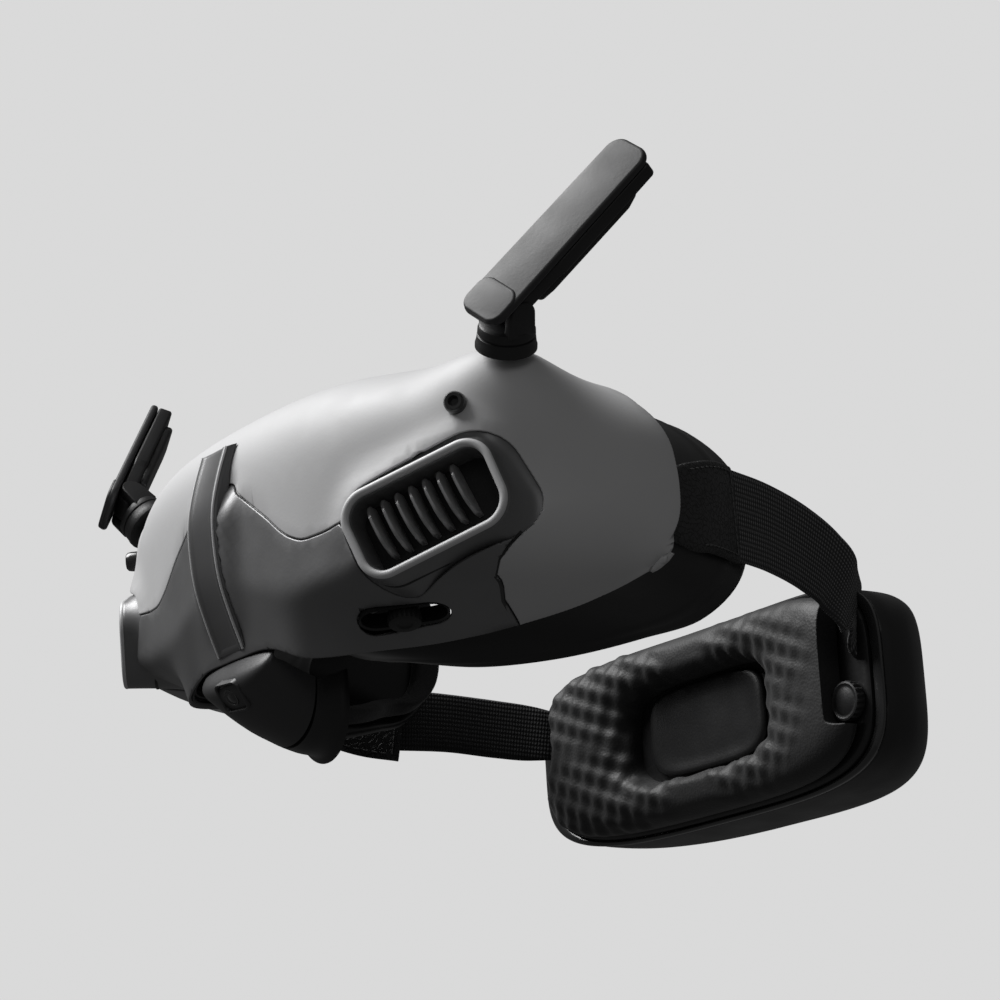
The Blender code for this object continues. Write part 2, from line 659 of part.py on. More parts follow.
def build_shield():
    front, rear = ring_from_half(SHIELD_FRONT, 22), ring_from_half(SHIELD_REAR, 22)
    outer = [front, front * 0.45 + rear * 0.55, rear]
    inner = [inward(r, 1.8) for r in outer][::-1]
    loft("face_shield", outer + inner, "rubber", closed_path=True)
    seat = inward(rear, 3.0)
    ahead = inward(front * 0.14 + rear * 0.86, 3.0)
    loft("face_foam", [seat, inward(rear, 6.8), inward(front * 0.14 + rear * 0.86, 6.8), ahead], "foam",
         closed_path=True)


# ------------------------------------------------------------------ optics and electronics
def along_y(x, z, y=0.0):
    """Frame at a point whose z axis runs along +Y."""
    return Matrix.Translation((x, y, z)) @ Matrix.Rotation(-math.pi / 2, 4, "X")


def build_optics():
    eye_holes = [stadium(EYE_HOLE, 16.3, 8) + np.array([s * EYE_X, 0]) for s in (1, -1)]
    rim = rounded(((-62, -16.5), (62, -16.5), (57, 19), (-57, 19)), 9, 4)
    upright = Matrix.Translation((0, -1.5, EYE_Z)) @ Matrix.Rotation(math.pi / 2, 4, "X")
    plate("optics_frame", [rim] + eye_holes, 1.6, upright, "black_plastic")
    rod("ipd_rail", (-57, -8, 66.2), (57, -8, 66.2), 1.4, "metal", 12)
    for side in (1, -1):
        name, x = side_name(side), side * EYE_X
        barrel = turned("eyepiece_" + name, ((14.2, -8.0), (14.2, 10.0), (15.6, 10.0), (15.6, -8.0))[::-1],
                        along_y(x, EYE_Z, 0.0), "black_plastic", 28)
        lug = box("lug_" + name, (x - 4, -11.2, 60.2), (x + 4, -4.8, 68.9), "black_plastic")
        bore = rod("lug_bore_" + name, (x - 9, -8, 66.2), (x + 9, -8, 66.2), 1.8, "black_plastic", 12)
        combine(barrel, [lug], "UNION")
        combine(barrel, [bore], "DIFFERENCE")
        turned("lens_" + name, ((0, 8.0), (5, 7.6), (9, 6.4), (13.9, 3.6), (13.9, 1.6), (0, 1.6)),
               along_y(x, EYE_Z, -1.2), "glass", 28)
        box("display_" + name, (x - 11, -13.0, EYE_Z - 10), (x + 11, -10.5, EYE_Z + 10), "board", 0.3)


def build_electronics():
    box("main_board", (-38, -10, 70.6), (38, 8, 71.8), "board")
    sink = box("heat_sink", (-10, -25.0, 38), (10, -23.4, 58), "metal")
    combine(sink, [box(f"fin_{k}", (-9.6 + 3.5 * k, -24.4, 38.6), (-8.4 + 3.5 * k, -17.0, 57.4), "metal")
                   for k in range(6)], "UNION")
    housing = box("fan_housing", (-11, -16, 37), (11, -10.4, 59), "black_plastic")
    combine(housing, [rod("fan_bore", (0, -20, 48), (0, -6, 48), 9.6, "black_plastic", 28)], "DIFFERENCE")
    rotor = rod("fan_rotor", (0, -15.6, 48), (0, -10.8, 48), 3.4, "black_plastic", 16)
    blades = []
    for k in range(5):
        turn = (Matrix.Translation((0, -13.2, 48)) @ Matrix.Rotation(2 * math.pi * k / 5, 4, "Y")
                @ Matrix.Translation((0, 0, 5.8)) @ Matrix.Rotation(math.radians(38), 4, "Z"))
        blades.append(box(f"blade_{k}", (-2.6, -0.45, -3.4), (2.6, 0.45, 3.0), "black_plastic", matrix=turn))
    combine(rotor, blades, "UNION")
    set_origin(rotor, (0, -13.2, 48))


# ------------------------------------------------------------------ controls on the shell
def outwards(place, direction):
    """The frame, turned over about its x axis if its z axis points against the direction."""
    if np.array(place.to_3x3().col[2]) @ np.asarray(direction, float) > 0:
        return place
    return place @ Matrix.Rotation(math.pi, 4, "X")


def build_controls():
    for side in (1, -1):
        name = side_name(side)
        base = outwards(mirrored(slot_frame(), side), (0, 0, -1))
        plate("ipd_slider_" + name, [stadium(12.4, 6.3, 5)], 0.7, base @ Matrix.Translation((0, 0, -5.08)),
              "black_plastic")
        turned("focus_knob_" + name, ((0, 1.4), (3.6, 1.4), (4.3, 0.7), (4.3, -4.2), (0, -4.2)), base,
               "rubber", 20)
        stud = (surface([from_front(STUD_X, STUD_Z)])[0]) * np.array([side, 1, 1])
        normal = unit(np.array([0.60 * side, -0.74, 0.30]))
        seat = outwards(frame(stud + normal * 0.1, np.cross(normal, (0, 0, 1)), (0, 0, 1)), normal)
        turned("sensor_stud_" + name, ((0.8, 2.2), (1.7, 2.2), (2.2, 1.7), (2.2, 0.6), (0.8, 0.6)), seat,
               "black_plastic", 20)
    for name, (y, z), radius, crown in (("joystick", STICK_AT, STICK_R, 2.4),
                                        ("back_button", BACK_AT, BACK_R, 1.0)):
        seat = side_seat(y, z)
        rim = radius - 1.1
        profile = ((0, crown), (rim * 0.7, crown), (rim, crown - 0.6), (rim, -2.6), (0, -2.6))
        turned(name, profile, seat, "rubber", 20)
    block = plate("port_block", [port_outline() - np.array(PORT_AT)], 3.2,
                  side_seat(*PORT_AT) @ Matrix.Translation((0, 0, -2.4)), "black_plastic", 0.3)
    seat = side_seat(*PORT_AT)
    cuts = [plate(f"port_cut_{k}", [stadium(h, w, 5)[:, ::-1] + [0, dz]], 5.0, seat, "black_plastic")
            for k, (dz, h, w) in enumerate(((5.9, 4.0, 1.6), (-0.8, 1.9, 1.85), (-6.9, 3.2, 0.9)))]
    combine(block, cuts, "DIFFERENCE")


def side_seat(y, z):
    """Frame on the right-hand side wall with x along +Y, y up and z pointing outwards."""
    at = surface([from_side(y, z)])[0] * np.array([-1, 1, 1])
    return frame(at, (0, -1, 0), (0, 0, 1))


def port_outline():
    return rounded(((-3.2, -11), (3.2, -11), (3.2, 11), (-3.2, 11)), 1.6, 2) + np.array(PORT_AT)


# ------------------------------------------------------------------ antennas
def antenna_frame(side):
    """Hinge point with x along the arm, y along the pin and z out of the arm's face."""
    origin = np.array(HORN_AT) + unit(HORN_AXIS) * HINGE_RISE
    d = unit(ARM_DIR)
    face = unit(np.array(ARM_FACE) - d * (np.array(ARM_FACE) @ d))
    return mirrored(frame(origin, d, np.cross(face, d)), side, keep="x")


def build_antenna(side):
    name = side_name(side)
    place = antenna_frame(side)
    hinge = np.array(place.to_translation())
    pin = np.array(place.to_3x3().col[1])
    seat = np.array(HORN_AT) * np.array([side, 1, 1])
    axis = unit(np.array(HORN_AXIS) * np.array([side, 1, 1]))
    collar = rod("antenna_collar_" + name, seat + axis * 0.5, seat + axis * 4.6, 5.9, "black_plastic", 28)
    ears = []
    for k in (1, -1):
        middle = hinge + pin * 4.4 * k
        base = seat + axis * 3.0 + pin * 4.4 * k
        x_dir = unit(hinge - (seat + axis * 3.0))
        turn = frame(middle, x_dir, np.cross(pin, x_dir))
        if abs(np.array(turn.to_3x3().col[2]) @ pin) < 0.5:
            turn = frame(middle, x_dir, pin) @ Matrix.Rotation(math.pi / 2, 4, "X")
        ear = ear_outline(np.linalg.norm(middle - base))
        ears.append(plate(f"ear_{name}_{k}", [ear], 2.2, turn, "black_plastic"))
    combine(collar, ears, "UNION")
    bore = rod("ear_bore_" + name, hinge - pin * 9, hinge + pin * 9, 1.5, "metal", 14)
    combine(collar, [bore], "DIFFERENCE")
    rod("antenna_pin_" + name, hinge - pin * 5.4, hinge + pin * 5.4, 1.15, "metal", 14)
    half = ARM_WIDTH / 2
    body = rounded(((-2, -half + 0.6), (ARM_LENGTH - 1, -half + 1.0), (ARM_LENGTH - 1, half - 1.0),
                    (-2, half - 0.6)), 2.0, 3)
    arm = plate("antenna_arm_" + name, [body + np.array([6.5, 0])], ARM_THICK,
                place @ Matrix.Translation((0, 0, 0.6)), "black_plastic", 0.8)
    knuckle = rod("knuckle_" + name, hinge - pin * 2.9, hinge + pin * 2.9, 3.0, "black_plastic", 20)
    web = box("web_" + name, (0, -2.9, -2.6), (9, 2.9, 2.6), "black_plastic", matrix=place)
    combine(arm, [knuckle, web], "UNION")
    bore = rod("knuckle_bore_" + name, hinge - pin * 9, hinge + pin * 9, 1.5, "metal", 14)
    combine(arm, [bore], "DIFFERENCE")
    face = rounded(((-6.6, -half), (ARM_LENGTH + 6, -half + 0.6), (ARM_LENGTH + 6, half - 0.6), (-6.6, half)),
                   3.2, 4)
    height = 0.6 + ARM_THICK / 2 + GAP + PLATE_THICK / 2
    plate("antenna_plate_" + name, [face], PLATE_THICK, place @ Matrix.Translation((0, 0, height)),
          "grey_plastic", 0.5)
    for piece in ("antenna_arm_", "antenna_plate_"):
        set_origin(bpy.data.objects[piece + name], hinge)


def ear_outline(length):
    arc = [(3.0 * math.cos(a), 3.0 * math.sin(a)) for a in np.linspace(-math.pi / 2, math.pi / 2, 9)]
    return np.array([(-length, -3.0)] + arc + [(-length, 3.0)])


# ------------------------------------------------------------------ headband
def ribbon(path, heights, thickness, count):
    """Flat strap along a path, standing on edge."""
    p = resample(path, count)
    h = interpolate(np.linspace(0, 1, count), np.linspace(0, 1, len(heights)), heights) / 2
    along = np.gradient(p, axis=0)
    along /= np.linalg.norm(along, axis=1)[:, None]
    out = np.cross(along, (0, 0, 1.0))
    out /= np.linalg.norm(out, axis=1)[:, None]
    up = np.cross(out, along)
    t = thickness / 2
    return [[c + o * t + u * k, c + o * t - u * k, c - o * t - u * k, c - o * t + u * k]
            for c, o, u, k in zip(p, out, up, h)]


PIVOT = (27.0, 35.8)               # y, z of the headband's tilt axis
LEATHER = {1: (((79.2, 31, 39.5), (75.8, 43, 42.5), (68.0, 56, 44.4)), (14, 19, 20.8)),
           -1: (((-79.2, 31, 38.0), (-75.8, 44, 31.5), (-68.0, 60, 27.1)), (14, 19, 20.6))}
ELASTIC = {1: (((67.4, 58.0, 44.3), (64.2, 70, 43.2), (60.8, 83, 38.6), (56.6, 92, 30.0),
                (54.8, 96, 25.4), (54.6, 101, 24.8), (54.5, 112, 24.8)),
               (20.2, 20.2, 20.2, 18.6, 12.8, 10.6, 10.6)),
           -1: (((-67.5, 61.6, 26.9), (-64.2, 72, 26.2), (-60.2, 84, 24.8), (-56.6, 92, 23.7),
                 (-54.9, 96.5, 23.0), (-54.6, 102, 22.6), (-54.5, 112, 22.5)),
                (15.0, 14.6, 14.4, 13.6, 12.0, 11.0, 11.0))}


def build_straps(side):
    name = side_name(side)
    path, heights = LEATHER[side]
    end = loft("strap_end_" + name, ribbon(path, heights, 1.9, 7), "leather")
    x = side * 79.2
    tab = rod("tab_" + name, (x - 0.95, *PIVOT), (x + 0.95, *PIVOT), 4.4, "leather", 20)
    link = box("link_" + name, (x - 0.9, PIVOT[0], PIVOT[1] - 2.2), (x + 0.9, 33.0, PIVOT[1] + 3.6), "leather")
    combine(end, [tab, link], "UNION")
    combine(end, [rod("tab_bore_" + name, (x - 4, *PIVOT), (x + 4, *PIVOT), 1.9, "leather", 16)], "DIFFERENCE")
    rod("strap_anchor_" + name, (side * 77.4, *PIVOT), (side * 81.0, *PIVOT), 1.5, "metal", 16)
    path, heights = ELASTIC[side]
    band = loft("strap_band_" + name, ribbon(path, heights, 1.5, 14), "webbing")
    for piece in (end, band):
        set_origin(piece, (0, *PIVOT))


# ------------------------------------------------------------------ rear unit
DIAL_AT = (54.0, 10.0)             # x, z of the fit dial


def rear_loop(scale_x, scale_z, depth, shift=0.0, count=36):
    """Rounded outline; depth 0 follows the front face and 1 the back."""
    a = np.linspace(0, 2 * math.pi, count, endpoint=False) + math.pi / count
    c, s = np.cos(a), np.sin(a)
    x = REAR_HALF[0] * scale_x * np.sign(c) * np.abs(c) ** (2 / 4.4)
    z = REAR_Z + REAR_HALF[1] * scale_z * np.sign(s) * np.abs(s) ** (2 / 4.0)
    front = rear_face(x)
    back = REAR_BACK - REAR_BACK_SAG * np.abs(x / REAR_HALF[0]) ** 2.5
    return np.stack([x, front + (back - front) * depth + shift, z], 1)


def rear_face(x):
    return REAR_FRONT - REAR_FRONT_SAG * (np.asarray(x) / REAR_HALF[0]) ** 2


def build_rear():
    wall_x, wall_z = 2.0 / REAR_HALF[0], 2.0 / REAR_HALF[1]
    shape = ((0.985, 0.0), (1.0, 0.25), (0.99, 0.6), (0.93, 0.86), (0.80, 0.97), (0.45, 1.0), (0.1, 1.0))
    outer = [rear_loop(s, s, d) for s, d in shape]
    hollow = ((0.985, 0.0), (0.985, 0.6), (0.96, 0.82), (0.80, 0.92), (0.1, 0.93))
    inner = [rear_loop(s - wall_x, s - wall_z, d) for s, d in hollow[:-1]] + [rear_loop(0.1, 0.1, 0.93)]
    housing = loft("rear_housing", inner[::-1] + outer, "black_plastic")
    trim = ((0.95, -GAP), (0.995, -GAP), (0.995, -1.5), (0.95, -1.5))
    loft("rear_trim", [rear_loop(s, s, 0, y) for s, y in trim], "grey_plastic", closed_path=True)
    levels = ((0.05, -GAP), (0.5, -GAP), (0.94, -GAP), (0.94, -2.2), (0.92, -2.9), (0.5, -2.9), (0.05, -2.9))
    base = loft("rear_pad_base", [rear_loop(s, s, 0, y) for s, y in levels], "black_plastic")
    slots = [box(f"strap_slot_{x}", (x - 2.0, 95, low), (x + 2.0, 115, top), "black_plastic")
             for x, low, top in ((54.6, 18.4, 33.0), (-54.6, 15.9, 29.1))]
    x, z = DIAL_AT
    slots.append(rod("shaft_bore", (x, 95, z), (x, 112, z), 2.0, "metal", 16))
    combine(base, slots, "DIFFERENCE")
    pad = ((0.86, 0.88, -3.3), (0.90, 0.92, -5.5), (0.85, 0.87, -8.6), (0.72, 0.76, -10.3),
           (0.56, 0.62, -10.5), (0.43, 0.51, -8.0), (0.41, 0.49, -3.3))
    cushion = loft("rear_pad", [rear_loop(sx, sz, 0, y) for sx, sz, y in pad], "foam", closed_path=True)
    notches = [rod("dial_notch", (x, 80, z), (x, 112, z), 6.6, "foam", 20),
               box("strap_notch_left", (50.6, 85, z), (70, 112, 45), "foam"),
               box("strap_notch_right", (-70, 85, 14.0), (-52.0, 112, 33.5), "foam")]
    combine(cushion, notches, "DIFFERENCE")
    panel_levels = ((0.04, -3.3), (0.33, -3.3), (0.34, -4.2), (0.31, -4.9), (0.04, -4.9))
    loft("rear_recess_panel", [rear_loop(s, s * 1.35, 0, y) for s, y in panel_levels], "black_plastic")
    for side in (1, -1):
        z = REAR_Z + side * (CELL_R + 0.2)
        rod("battery_cell_" + ("upper" if side > 0 else "lower"), (-CELL_LENGTH / 2, CELL_Y, z),
            (CELL_LENGTH / 2, CELL_Y, z), CELL_R, "cell", 28)
    turned("power_button", ((0, 1.6), (3.6, 1.6), (4.2, 1.0), (4.2, -1.8), (0, -1.8)),
           Matrix.Translation((-46, 114, REAR_Z + REAR_HALF[1] - 1.1)), "rubber", 20)
    combine(housing, [rod("power_bore", (-46, 114, 30), (-46, 114, 46), 4.6, "rubber", 20)], "DIFFERENCE")


def build_dial():
    x, z = DIAL_AT
    front = float(rear_face(x)) - 2.9
    mesh_y = REAR_FRONT + 1.3
    dial = rod("fit_dial", (x, front - 4.8, z), (x, front - 1.2, z), 5.0, "rubber", 24)
    turns = [Matrix.Translation((x, 0, z)) @ Matrix.Rotation(2 * math.pi * k / 12, 4, "Y") for k in range(12)]
    ridges = [box(f"ridge_{k}", (-0.5, front - 4.5, 4.6), (0.5, front - 1.5, 5.5), "rubber", matrix=turn)
              for k, turn in enumerate(turns)]
    shaft = rod("dial_shaft", (x, front - 1.6, z), (x, mesh_y + 0.9, z), 1.5, "rubber", 14)
    pinion = rod("dial_pinion", (x, mesh_y - 0.8, z), (x, mesh_y + 0.8, z), 2.6, "rubber", 14)
    combine(dial, [shaft, pinion] + ridges, "UNION")
    set_origin(dial, (x, mesh_y, z))
    for name, end, low in (("left", 20.0, z + 3.0), ("right", -46.0, z - 5.2)):
        box("rack_" + name, (end, mesh_y - 0.6, low), (x + 1.2, mesh_y + 0.6, low + 2.2), "grey_plastic", 0.2)


# ------------------------------------------------------------------ assembly
build_covers()
build_ridge()
build_beak()
build_shield()
build_optics()
build_electronics()
build_controls()
for s in (1, -1):
    build_vent(s)
    build_antenna(s)
    build_straps(s)
build_rear()
build_dial()
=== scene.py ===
"""Looks for the flying goggles: fine shells, soft parts, finishes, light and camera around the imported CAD.

Tables are millimetres in the design frame of the part: +X is the wearer's left, +Y the back of the head.
"""

import json
import math

import bmesh
import bpy
import numpy as np
from mathutils import Matrix, Vector
from mathutils.geometry import delaunay_2d_cdt

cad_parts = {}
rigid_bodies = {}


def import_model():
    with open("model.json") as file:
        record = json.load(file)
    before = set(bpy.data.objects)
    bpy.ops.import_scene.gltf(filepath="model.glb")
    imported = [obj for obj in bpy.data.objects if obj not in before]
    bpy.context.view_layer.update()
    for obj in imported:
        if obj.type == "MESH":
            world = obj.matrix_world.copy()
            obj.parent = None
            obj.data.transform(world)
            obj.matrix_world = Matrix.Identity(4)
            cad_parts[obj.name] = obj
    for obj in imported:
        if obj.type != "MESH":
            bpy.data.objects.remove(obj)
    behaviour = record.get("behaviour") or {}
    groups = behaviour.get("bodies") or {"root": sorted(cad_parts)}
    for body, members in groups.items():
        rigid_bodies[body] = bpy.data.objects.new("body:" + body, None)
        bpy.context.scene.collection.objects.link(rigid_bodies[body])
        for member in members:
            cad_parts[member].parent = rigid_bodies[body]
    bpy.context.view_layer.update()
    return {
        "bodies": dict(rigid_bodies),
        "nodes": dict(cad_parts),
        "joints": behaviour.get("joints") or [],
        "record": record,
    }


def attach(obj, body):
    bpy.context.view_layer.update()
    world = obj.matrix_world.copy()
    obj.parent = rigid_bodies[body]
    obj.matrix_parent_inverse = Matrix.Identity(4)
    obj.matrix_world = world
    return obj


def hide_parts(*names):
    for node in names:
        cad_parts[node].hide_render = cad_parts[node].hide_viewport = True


MM = 0.001
ORIGIN = np.array((0.0, 50.0, -7.455))   # design point at the frame's origin

# Front body surface, as in the part
HALF_WIDTH, OUTLINE_POWER, REAR_Y, OUTLINE_DEPTH, PLAN_CENTRE_Y = 85.0, 2.6, 32.0, 61.0, 14.0
MID_Z, TOP_Z = 50.0, 79.0
HORN_AT, HORN_AXIS = (74.8, -4.2, 71.5), (0.62, -0.34, 0.70)
HORN_RISE, HORN_SPREAD = 8.0, 14.0
DIRECTIONS = (0, 15, 30, 45, 60, 75, 88, 98, 104, 120)
CREASE_Z = (36, 34, 29.5, 28.5, 29, 28, 28, 31, 33, 36)
CREASE_ROUND = (0.12, 0.12, 0.12, 0.14, 0.25, 0.4, 0.6, 0.7, 0.7, 0.7)
RIM_X = (0, 14, 25, 31, 37, 47, 63, 78, 83.5, 80)
RIM_Y = (-26, -25.5, -22.5, -9, 3, 14.5, 22, 24.5, 26, 40)
RIM_Z = (20.5, 20, 16, 17.3, 18.8, 21.2, 23.5, 26, 29, 33)
CROWN_POWER = (3.2, 3.2, 3.2, 3.2, 3.0, 2.7, 2.3, 2.15, 2.1, 2.1)
BROW_SEAM = ((0, 57.2), (6.9, 57.2), (10.1, 54.1), (19.2, 47), (27.3, 40.8), (30.3, 39.6), (35, 39.5),
             (41.6, 40.3))
CHEEK_SEAM = ((-3.4, 28.7), (-1.8, 26.6), (5.4, 23.9))
REAR_SEAM = ((27.5, 32), (29.2, 36.1), (29.6, 44.4), (27.5, 54.9), (25, 61.2))
CROWN_SEAM = ((67.5, 24.3), (50, 18), (25, 13.5), (0, 12))
STICK_AT, STICK_R = (9.0, 54.0), 4.6
BACK_AT, BACK_R = (9.0, 43.0), 3.8
PORT_AT = (19.2, 43.7)
VENT_AT, VENT_ALONG = (60.0, -16.2, 41.0), (0.83, 0.54, 0.10)
VENT_CORNERS = ((-18, 3.6), (14.6, 10.2), (19.2, -7.4), (-12.6, -14.2))
VENT_RADIUS = 5.5
SLOT_AT, SLOT_ALONG = (40.6, -9.0, 21.9), (0.67, 0.74, 0.06)
HINGE_RISE = 8.2
ARM_DIR, ARM_FACE = (0.47, 0.53, 0.70), (0.37, -0.87, 0.29)
ARM_LENGTH, ARM_WIDTH, ARM_THICK, PLATE_THICK = 35.0, 12.4, 4.6, 1.8
REAR_Z, REAR_HALF = 16.0, (63.0, 23.5)
REAR_FRONT, REAR_FRONT_SAG, REAR_BACK, REAR_BACK_SAG = 106.0, 5.0, 133.0, 17.0
DIAL_AT = (54.0, 10.0)

# Camera at the photograph's angle
CAMERA_AT = (537.0, -338.2, -118.3)
CAMERA_AZIMUTH, CAMERA_ELEVATION, CAMERA_ROLL = 54.45, -15.44, -3.27
CAMERA_LENS = 108.0


# ------------------------------------------------------------------ geometry of the body
def interpolate(value, xs, ys):
    """Cubic curve through the points of a table."""
    xs, ys = np.array(xs, float), np.array(ys, float)
    value = np.clip(value, xs[0], xs[-1])
    i = np.clip(np.searchsorted(xs, value) - 1, 0, len(xs) - 2)
    h = xs[i + 1] - xs[i]
    t = (value - xs[i]) / h
    slope = np.gradient(ys, xs)
    return ((2 * t**3 - 3 * t**2 + 1) * ys[i] + (t**3 - 2 * t**2 + t) * h * slope[i]
            + (3 * t**2 - 2 * t**3) * ys[i + 1] + (t**3 - t**2) * h * slope[i + 1])


def unit(vectors):
    """Vectors scaled to length one along the last axis."""
    v = np.asarray(vectors, float)
    return v / np.maximum(np.linalg.norm(v, axis=-1, keepdims=True), 1e-9)


def outline_radius(direction):
    """Radius of the plan outline about its centre, found by halving."""
    s, c = np.abs(np.sin(direction)), np.cos(direction)
    low, high = np.zeros_like(direction), np.full_like(direction, 150.0)
    for _ in range(32):
        r = (low + high) / 2
        x, y = r * s, PLAN_CENTRE_Y - r * c
        f = ((x / HALF_WIDTH) ** OUTLINE_POWER
             + (np.clip(REAR_Y - y, 0, None) / OUTLINE_DEPTH) ** 2
             + (np.clip(y - REAR_Y, 0, None) / 30.0) ** 2.5)
        low, high = np.where(f < 1, r, low), np.where(f < 1, high, r)
    return (low + high) / 2


def surface(q):
    """Outer surface of the front body over a disc: crown at 0, widest section at radius 1, rim at 2."""
    q = np.atleast_2d(np.asarray(q, float))
    theta, psi = np.arctan2(q[:, 0], -q[:, 1]), np.hypot(q[:, 0], q[:, 1])
    r0, a = outline_radius(theta), np.degrees(np.abs(theta))
    power = interpolate(a, DIRECTIONS, CROWN_POWER)
    phi = math.pi / 2 * (1 - np.clip(psi, 0, 1))
    r = r0 * np.clip(np.cos(phi), 0, 1) ** (2 / power)
    z = MID_Z + (TOP_Z - MID_Z) * np.sin(phi) ** (2 / power)
    upper = np.stack([r * np.sin(theta), PLAN_CENTRE_Y - r * np.cos(theta), z], 1)
    wall = np.stack([r0 * np.sin(theta), PLAN_CENTRE_Y - r0 * np.cos(theta), np.full_like(r0, MID_Z)], 1)
    crease = wall.copy()
    crease[:, 2] = interpolate(a, DIRECTIONS, CREASE_Z)
    rim = np.stack([np.sign(theta) * interpolate(a, DIRECTIONS, RIM_X),
                    interpolate(a, DIRECTIONS, RIM_Y), interpolate(a, DIRECTIONS, RIM_Z)], 1)
    w = interpolate(a, DIRECTIONS, CREASE_ROUND)[:, None]
    v = np.clip((psi - 1) * 2, 0, 2.4)[:, None]

    def straight(k):
        return np.where(k < 1, wall + (crease - wall) * k, crease + (rim - crease) * (k - 1))

    t = np.clip((v - 1 + w) / (2 * w), 0, 1)
    bend = straight(1 - w) * (1 - t) ** 2 + 2 * t * (1 - t) * crease + straight(1 + w) * t * t
    lower = np.where(np.abs(v - 1) < w, bend, straight(v))
    points = np.where((psi > 1)[:, None], lower, upper)
    for side in (1, -1):
        mirror = np.array([side, 1, 1])
        axis = unit(HORN_AXIS) * mirror
        away = points - (np.array(HORN_AT) * mirror - axis * HORN_RISE)
        along = away @ axis
        off = np.sqrt(np.clip((away**2).sum(1) - along**2, 0, None))
        points = points + axis * (HORN_RISE * np.exp(-(off / HORN_SPREAD) ** 2.2) * (along > -25))[:, None]
    return points


SEARCH_Q = np.array([[r * math.sin(t), -r * math.cos(t)] for r in np.linspace(0.15, 2, 30)
                     for t in np.radians(np.arange(-116, 117, 4))])
SEARCH_P = surface(SEARCH_Q)


def where_hit(start, direction):
    """Disc coordinates of the first point of the surface on a line, by shortened Newton steps."""
    start, direction = np.asarray(start, float), unit(direction)
    away = SEARCH_P - start
    along = away @ direction
    off = np.linalg.norm(away - along[:, None] * direction, axis=1)
    near = np.where(off < off.min() + 4)[0]
    q = SEARCH_Q[near[np.argmin(along[near] + 0.5 * off[near])]]
    shares = 0.5 ** np.arange(12)

    def miss(points):
        away = points - start
        return away - (away @ direction)[:, None] * direction

    for _ in range(30):
        m = miss(surface([q, q + [1e-4, 0], q + [0, 1e-4]]))
        step = np.linalg.lstsq(np.stack([m[1] - m[0], m[2] - m[0]], 1) / 1e-4, -m[0], rcond=None)[0]
        step /= max(1.0, np.abs(step).max() / 0.15)
        tries = q + shares[:, None] * step
        left = np.linalg.norm(miss(surface(tries)), axis=1)
        q = tries[np.argmin(left)]
        if left.min() < 1e-5 or left.min() >= np.linalg.norm(m[0]):
            break
    return q


def from_front(x, z):
    return where_hit((x, -300, z), (0, 1, 0))


def from_side(y, z):
    return where_hit((300, y, z), (-1, 0, 0))


def from_above(x, y):
    return where_hit((x, y, 300), (0, 0, -1))


# ------------------------------------------------------------------ small helpers
def frame_of(origin, x, y):
    """Origin and axes from a point, the x axis and a vector near the y axis."""
    x = unit(x)
    z = unit(np.cross(x, y))
    y = np.cross(z, x)
    return np.array(origin, float), np.stack([x, y, z])


def place(frame, points):
    """Local points to design points."""
    origin, axes = frame
    return origin + np.asarray(points, float) @ axes


def lifted(frame, outline, height):
    """A flat outline at a height over its frame, in design points; height is one value or one per point."""
    return place(frame, np.column_stack([outline, np.broadcast_to(height, len(outline))]))


def flip(frame, side, keep="y"):
    """The frame for the other half, kept right-handed."""
    if side > 0:
        return frame
    origin, axes = frame
    axes = axes * np.array([-1, 1, 1])
    axes[0 if keep == "y" else 1] *= -1
    return origin * np.array([-1, 1, 1]), axes


def outwards(frame, direction):
    """The frame turned half round about x where its z axis points the other way."""
    origin, axes = frame
    if axes[2] @ np.asarray(direction, float) > 0:
        return frame
    return origin, axes * np.array([[1], [-1], [-1]])


def side_name(side):
    return "left" if side > 0 else "right"


def mirror_x(points):
    return np.asarray(points, float) * np.array([-1.0] + [1.0] * (np.shape(points)[1] - 1))


def resample(points, count):
    """Even points along a smooth open curve through the given ones."""
    p = np.asarray(points, float)
    s = np.concatenate([[0], np.cumsum(np.linalg.norm(np.diff(p, axis=0), axis=1))])
    t = np.linspace(0, s[-1], count)
    return np.stack([interpolate(t, s, p[:, k]) for k in range(p.shape[1])], 1)


def stretch(points, step):
    """Straight-sided open line cut into even steps, first point kept and last point dropped."""
    out = []
    for a, b in zip(np.asarray(points[:-1], float), np.asarray(points[1:], float)):
        n = max(1, int(round(np.linalg.norm(b - a) / step)))
        out += [a + (b - a) * k / n for k in range(n)]
    return out


def rounded(corners, radius, per_corner=8, grow=0.0):
    """Polygon with arcs at its corners."""
    c = np.asarray(corners, float)
    out, n = [], len(c)
    for i in range(n):
        a, b = unit(c[i - 1] - c[i]), unit(c[(i + 1) % n] - c[i])
        half = math.acos(np.clip(a @ b, -1, 1)) / 2
        centre = c[i] + unit(a + b) * radius / math.sin(half)
        start, end = c[i] + a * radius / math.tan(half) - centre, c[i] + b * radius / math.tan(half) - centre
        for k in range(per_corner + 1):
            d = unit(start * (1 - k / per_corner) + end * k / per_corner)
            out.append(centre + d * (radius + grow))
    return np.array(out)


def closed_steps(ring, step):
    """A closed polygon cut into even steps."""
    return np.array(stretch(np.concatenate([ring, ring[:1]]), step))


def stadium(half_length, half_width, per_end=14):
    """Closed outline with round ends."""
    r, out = half_width, []
    for side in (1, -1):
        for k in range(per_end + 1):
            a = math.pi * (k / per_end - 0.5) + (0 if side > 0 else math.pi)
            out.append((side * (half_length - r) + r * math.cos(a), r * math.sin(a)))
    return np.array(out)


def world(points):
    return (np.atleast_2d(np.asarray(points, float)) - ORIGIN) * MM


